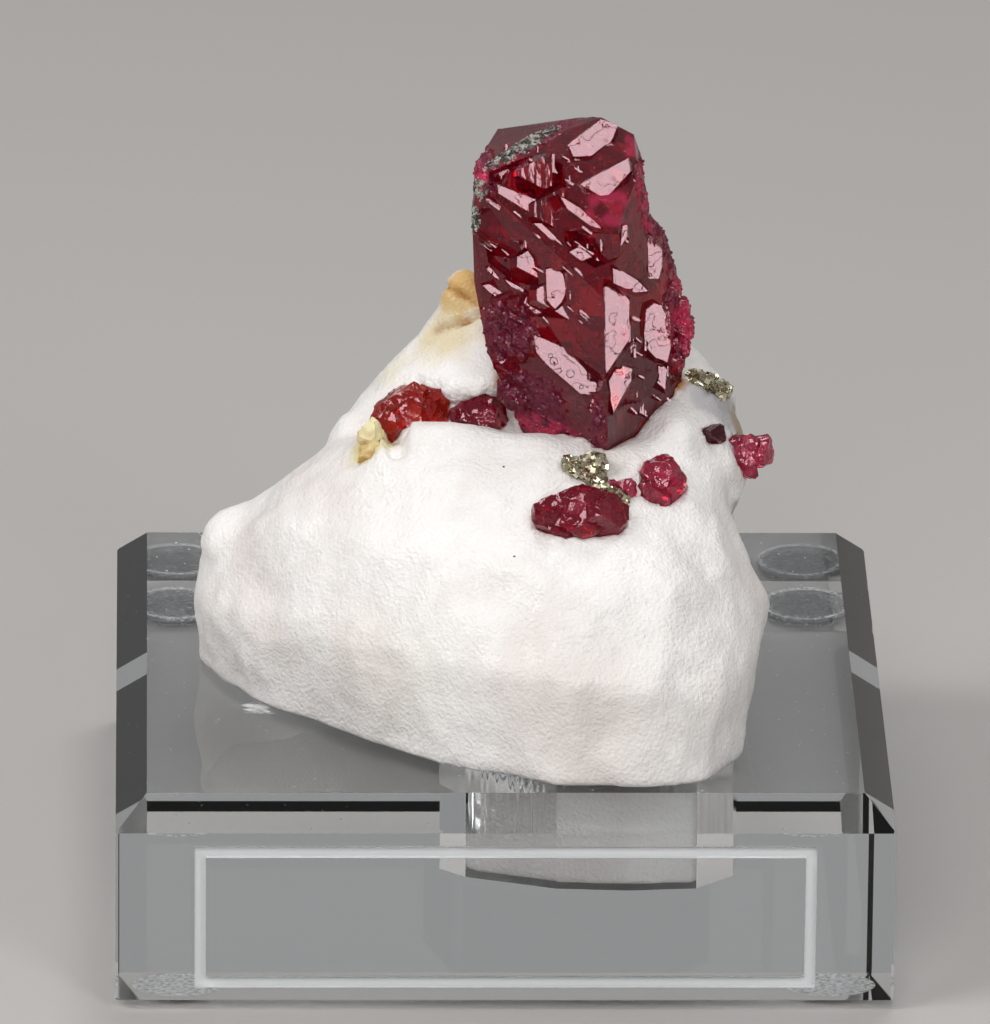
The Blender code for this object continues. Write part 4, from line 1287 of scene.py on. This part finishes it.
@dataclass
class MarbleMatrix:
    """The marble lump, grown tight against its crystals."""

    voxel: float = 0.42
    ease_factor: float = 0.5
    ease_rounds: int = 4
    lump: float = 0.15
    lump_waves: Waves = Waves(0.30, (4.0, 2.0, 9.0))
    ridge: float = 0.6
    ridge_waves: Waves = Waves(0.75, (1.0, 8.0, 3.0))
    sugar: float = 0.05
    sugar_waves: Waves = Waves(1.9)
    block_top: float = 20.3
    block_fade: float = 2.0
    buried_share: float = 0.15
    touch: float = 0.40
    reach: float = 1.1
    clearance: float = 0.03
    seam_reach: float = 1.2
    seam_levels: Levels = (0.15, 0.75)
    knob: Triple = (-3.0, 7.2, 51.2)
    knob_reach: float = 4.2
    knob_core: float = 0.7
    crease_depth: float = 0.75
    crease_width: float = 0.55
    creases: tuple[Levels, ...] = ((19.6, -0.5), (17.5, 0.35))
    crest: Triple = (-9.6, -7.6, 45.8)
    crest_reach: float = 1.5
    crest_core: float = 0.3
    crest_heights: Levels = (-3.6, -0.4)
    crest_depths: Levels = (-4.0, -2.4)
    crest_drop: float = 2.0

    def build(self, crystals: list[Object], large: Object) -> Object:
        """Make the fine surface of the marble.

        Args:
            crystals: Every crystal and grain that sits in the marble.
            large: The large crystal, along which a brown seam runs.

        Returns:
            The marble, with its mask "seam".
        """
        marble = merged_copy("marble_matrix", "marble_lump", 0.0)
        fuse = marble.modifiers.new("fuse", "REMESH")
        fuse.mode = "VOXEL"
        fuse.voxel_size = self.voxel * MM
        ease = marble.modifiers.new("ease", "SMOOTH")
        ease.factor = self.ease_factor
        ease.iterations = self.ease_rounds
        bake(marble)
        creased = [self.crease(vert.co) for vert in marble.data.vertices]
        move_points(marble, [self.move(vert, crease) for vert, crease
                             in zip(marble.data.vertices, creased)])
        self.close_up(marble, crystals)
        red = search_tree(large)
        seam = []
        for vert, crease in zip(marble.data.vertices, creased):
            spot, _, _, far = red.find_nearest(vert.co, self.seam_reach * MM)
            near = 0.0 if spot is None else 1.0 - smooth_step(*self.seam_levels, far / MM)
            seam.append(max(crease, near))
        write_mask(marble, "seam", seam)
        for face in marble.data.polygons:
            face.use_smooth = True
        return marble

    def move(self, vert: bpy.types.MeshVertex, crease: float) -> Vector:
        """Tell how far a point of the marble moves.

        Args:
            vert: The point, with its normal.
            crease: How deep in a crease it lies, from 0 to 1.

        Returns:
            Its move, in metres.
        """
        free = smooth_step(self.block_top, self.block_top + self.block_fade,
                           vert.co.z / MM)
        coarse = self.lump_waves.at(vert.co)
        ridges = abs(self.ridge_waves.at(vert.co))
        fine = self.sugar_waves.at(vert.co)
        depth = self.lump * (coarse - self.ridge * ridges) + self.sugar * fine
        depth *= self.buried_share + (1.0 - self.buried_share) * free
        depth -= crease * self.crease_depth
        return vert.normal * (depth * MM) + self.lowered(vert.co)

    def lowered(self, place: Vector) -> Vector:
        """Lower the crest in front of the left crystal, to bare the crystal's corner.

        Args:
            place: A point of the marble.

        Returns:
            Its move down in the view, in metres.
        """
        across, up, out = VIEW.place_of(place)
        middle, top, front = VIEW.place_of(Vector(self.crest) * MM)
        off = abs(across - middle) / self.crest_reach
        share = 1.0 - smooth_step(self.crest_core, 1.0, off)
        share *= smooth_step(*self.crest_heights, up - top)
        share *= smooth_step(*self.crest_depths, out - front)
        return VIEW.axes[1] * (-self.crest_drop * share * MM)

    def crease(self, place: Vector) -> float:
        """Tell how deep a point lies in the creases between the knob's nodules.

        Args:
            place: A point of the marble.

        Returns:
            1 in the middle of a crease, 0 away from them all.
        """
        far = (place / MM - Vector(self.knob)).length
        if far > self.knob_reach:
            return 0.0
        across, up, _ = VIEW.place_of(place)
        middle = VIEW.place_of(Vector(self.knob) * MM)[0]
        off = min(abs(up - level - slope * (across - middle)) for level, slope in self.creases)
        edge = 1.0 - smooth_step(self.knob_core * self.knob_reach, self.knob_reach, far)
        return edge * (1.0 - smooth_step(0.0, self.crease_width, off))

    def close_up(self, marble: Object, crystals: list[Object]) -> None:
        """Bring the marble's pockets and their rims up to the crystals.

        Args:
            marble: The marble's mesh, which is changed.
            crystals: What sits in the pockets.
        """
        trees = [search_tree(crystal) for crystal in crystals]
        for vert in marble.data.vertices:
            for tree in trees:
                spot, normal, _, far = tree.find_nearest(vert.co, self.reach * MM)
                if spot is None:
                    continue
                outside = (vert.co - spot).dot(normal) > 0
                gap = far / MM if outside else -far / MM
                share = 1.0 - smooth_step(self.touch, self.reach, gap)
                target = spot + normal * (self.clearance * MM)
                vert.co = vert.co.lerp(target, share)


@dataclass
class MetalGrains:
    """A cluster of small pyrite grains in place of one plain solid."""

    node: str
    seed: int
    edge: float = 0.3
    per_square: float = 9.0
    sizes: Levels = (0.22, 0.5)

    def build(self, material: Material) -> Object:
        """Spread blocky grains over the solid and keep its body under them.

        Args:
            material: What the grains are made of.

        Returns:
            The solid and its grains, as one mesh.
        """
        core = merged_copy(self.node, self.node + "_core")
        refine(core, self.edge)
        write_mask(core, "everywhere", [1.0] * len(core.data.vertices))
        scatter = Scatter(self.node + "_grains", GrainShape.BLOCK, self.per_square,
                          self.sizes, self.seed, "everywhere")
        grains = scatter.over(core, material)
        bm = bmesh.new()
        bm.from_mesh(core.data)
        bm.from_mesh(grains.data)
        bm.to_mesh(core.data)
        bm.free()
        bpy.data.objects.remove(grains, do_unlink=True)
        return core


@dataclass
class YellowGrain:
    """The yellow grain under the left crystal."""

    node: str = "yellow_grain"
    edge: float = 0.2
    ripple: float = 0.32
    ripple_waves: Waves = Waves(1.5)

    def build(self) -> Object:
        """Refine the grain and make its surface lumpy.

        Returns:
            The grain.
        """
        grain = merged_copy(self.node, self.node + "_lump")
        refine(grain, self.edge)
        for vert in grain.data.vertices:
            vert.co += vert.normal * (self.ripple * self.ripple_waves.at(vert.co) * MM)
        return grain


@dataclass
class RoundFoot:
    """A clear domed foot, turned in place of its plain solid."""

    node: str
    flat: float = 0.73
    dome: float = 0.8
    rings: int = 10
    sides: int = 48
    sharp_angle: float = 40.0

    def build(self) -> Object:
        """Turn the dome between the node's highest and lowest level.

        Returns:
            The closed foot.
        """
        low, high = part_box(self.node)
        centre = (low + high) / 2
        radius = (high.x - low.x) / 2
        rise = (high.z - low.z) * self.dome
        profile = [(radius * self.flat, low.z)]
        for step in range(1, self.rings + 1):
            angle = math.pi / 2 * step / self.rings
            profile.append((radius * (self.flat + (1 - self.flat) * math.sin(angle)),
                            low.z + rise * (1 - math.cos(angle))))
        profile.append((radius, high.z))
        bm = bmesh.new()
        loops = []
        for reach, level in profile:
            ring = []
            for side in range(self.sides):
                angle = math.tau * side / self.sides
                ring.append(bm.verts.new((centre.x + reach * math.cos(angle),
                                          centre.y + reach * math.sin(angle), level)))
            loops.append(ring)
        for lower, upper in zip(loops, loops[1:]):
            for side in range(self.sides):
                after = (side + 1) % self.sides
                bm.faces.new((lower[side], lower[after], upper[after], upper[side]))
        bm.faces.new(list(reversed(loops[0])))
        bm.faces.new(loops[-1])
        foot = new_object(self.node + "_dome", bm)
        foot.data.shade_smooth()
        foot.data.set_sharp_from_angle(angle=math.radians(self.sharp_angle))
        return foot


@dataclass
class DisplayBlock:
    """The clear block, shown as its CAD solid, and its four feet."""

    node: str = "base_block"
    feet: tuple[str, ...] = ("front_left", "front_right", "back_left", "back_right")

    def build(self) -> None:
        """Give the block its acrylic, and turn and dress the feet."""
        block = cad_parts[self.node]
        block.data.materials.clear()
        block.data.materials.append(ClearAcrylic().material())
        LOG.info("%s: %d faces", block.name, len(block.data.polygons))
        clear = ClearFoot().material()
        for side in self.feet:
            node = "foot_" + side
            dress(RoundFoot(node).build(), clear, "clear_foot", node)


@dataclass(frozen=True)
class Softbox:
    """A square soft light: its direction from the specimen, distance, side and watts."""

    name: str
    direction: Triple
    distance: float
    size: float
    power: float

    def hang(self, aim: Triple) -> None:
        """Hang the light so that it shines on a point.

        Args:
            aim: The point.
        """
        data = bpy.data.lights.new(self.name, "AREA")
        data.size = self.size * MM
        data.energy = self.power
        light = bpy.data.objects.new(self.name, data)
        bpy.context.scene.collection.objects.link(light)
        arm = Vector(self.direction).normalized()
        light.location = (Vector(aim) + arm * self.distance) * MM
        light.rotation_euler = arm.to_track_quat("Z", "Y").to_euler()


@dataclass
class Studio:
    """A pale floor, soft lights and a dim surround."""

    floor_radius: float = 6000.0
    floor_sides: int = 64
    aim: Triple = (3.0, -3.0, 45.0)
    surround: float = 0.28
    lights: tuple[Softbox, ...] = (
        Softbox("key_softbox", (0.409, -0.783, 0.466), 600.0, 160.0, 0.74),
        Softbox("left_softbox", (-0.70, -0.35, 0.75), 700.0, 300.0, 2.1),
        Softbox("top_softbox", (0.10, 0.30, 1.00), 700.0, 240.0, 1.3),
        Softbox("front_softbox", (-0.12, -0.82, 0.56), 700.0, 200.0, 1.0),
    )

    def build(self) -> None:
        """Make the floor, the lights and the surround."""
        bm = bmesh.new()
        bmesh.ops.create_circle(bm, cap_ends=True, segments=self.floor_sides,
                                radius=self.floor_radius * MM)
        floor = new_object("floor", bm)
        floor.data.materials.append(FLOOR_CARD.material())
        for light in self.lights:
            light.hang(self.aim)
        world = bpy.data.worlds.new("surround")
        bpy.context.scene.world = world
        world.use_nodes = True
        background = world.node_tree.nodes["Background"]
        background.inputs["Color"].default_value = (1.0, 1.0, 1.0, 1.0)
        background.inputs["Strength"].default_value = self.surround


# Each small crystal's node, its colour and its material slot.
SMALL_SPINELS = (
    ("left_spinel", Tone.ORANGE, "spinel_red"),
    ("left_inner_spinel", Tone.RED, "spinel_red"),
    ("front_spinel", Tone.RED, "spinel_red"),
    ("tiny_pink_spinel", Tone.PINK, "spinel_pink"),
    ("right_pink_spinel", Tone.PINK, "spinel_pink"),
    ("far_right_spinel", Tone.PINK, "spinel_pink"),
    ("dark_right_spinel", Tone.DARK, "spinel_dark"),
)
# Each cluster of metallic grains, with the seed of its scatter.
PYRITE_CLUSTERS = (("pyrite_front", 21), ("pyrite_lower", 22), ("pyrite_right", 23))


def main() -> None:
    """Build every piece in order."""
    logging.basicConfig(level=logging.INFO, format="%(name)s %(message)s")
    scene = bpy.context.scene
    scene.view_settings.view_transform = "Standard"
    for name, count in BOUNCES.items():
        setattr(scene.cycles, name, count)
    VIEW.make_camera()
    Studio().build()
    large = LargeSpinel()
    crystal = large.build()
    seated = [crystal]
    reds = {tone: tone.value.material() for tone in Tone}
    for node, tone, slot in SMALL_SPINELS:
        piece = SmallSpinel(node).build()
        dress(piece, reds[tone], slot, node)
        seated.append(piece)
    pyrite = Pyrite().material()
    for node, seed in PYRITE_CLUSTERS:
        dress(MetalGrains(node, seed).build(pyrite), pyrite, "pyrite", node)
        seated.append(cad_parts[node])
    yellow = YellowGrain()
    grain = yellow.build()
    dress(grain, YellowMineral().material(), "yellow_mineral", yellow.node)
    seated.append(grain)
    marble = MarbleMatrix().build(seated, crystal)
    dress(marble, SugaryMarble().material(), "marble", "marble_matrix")
    large.grow(crystal)
    DisplayBlock().build()


if __name__ == "__main__":
    main()
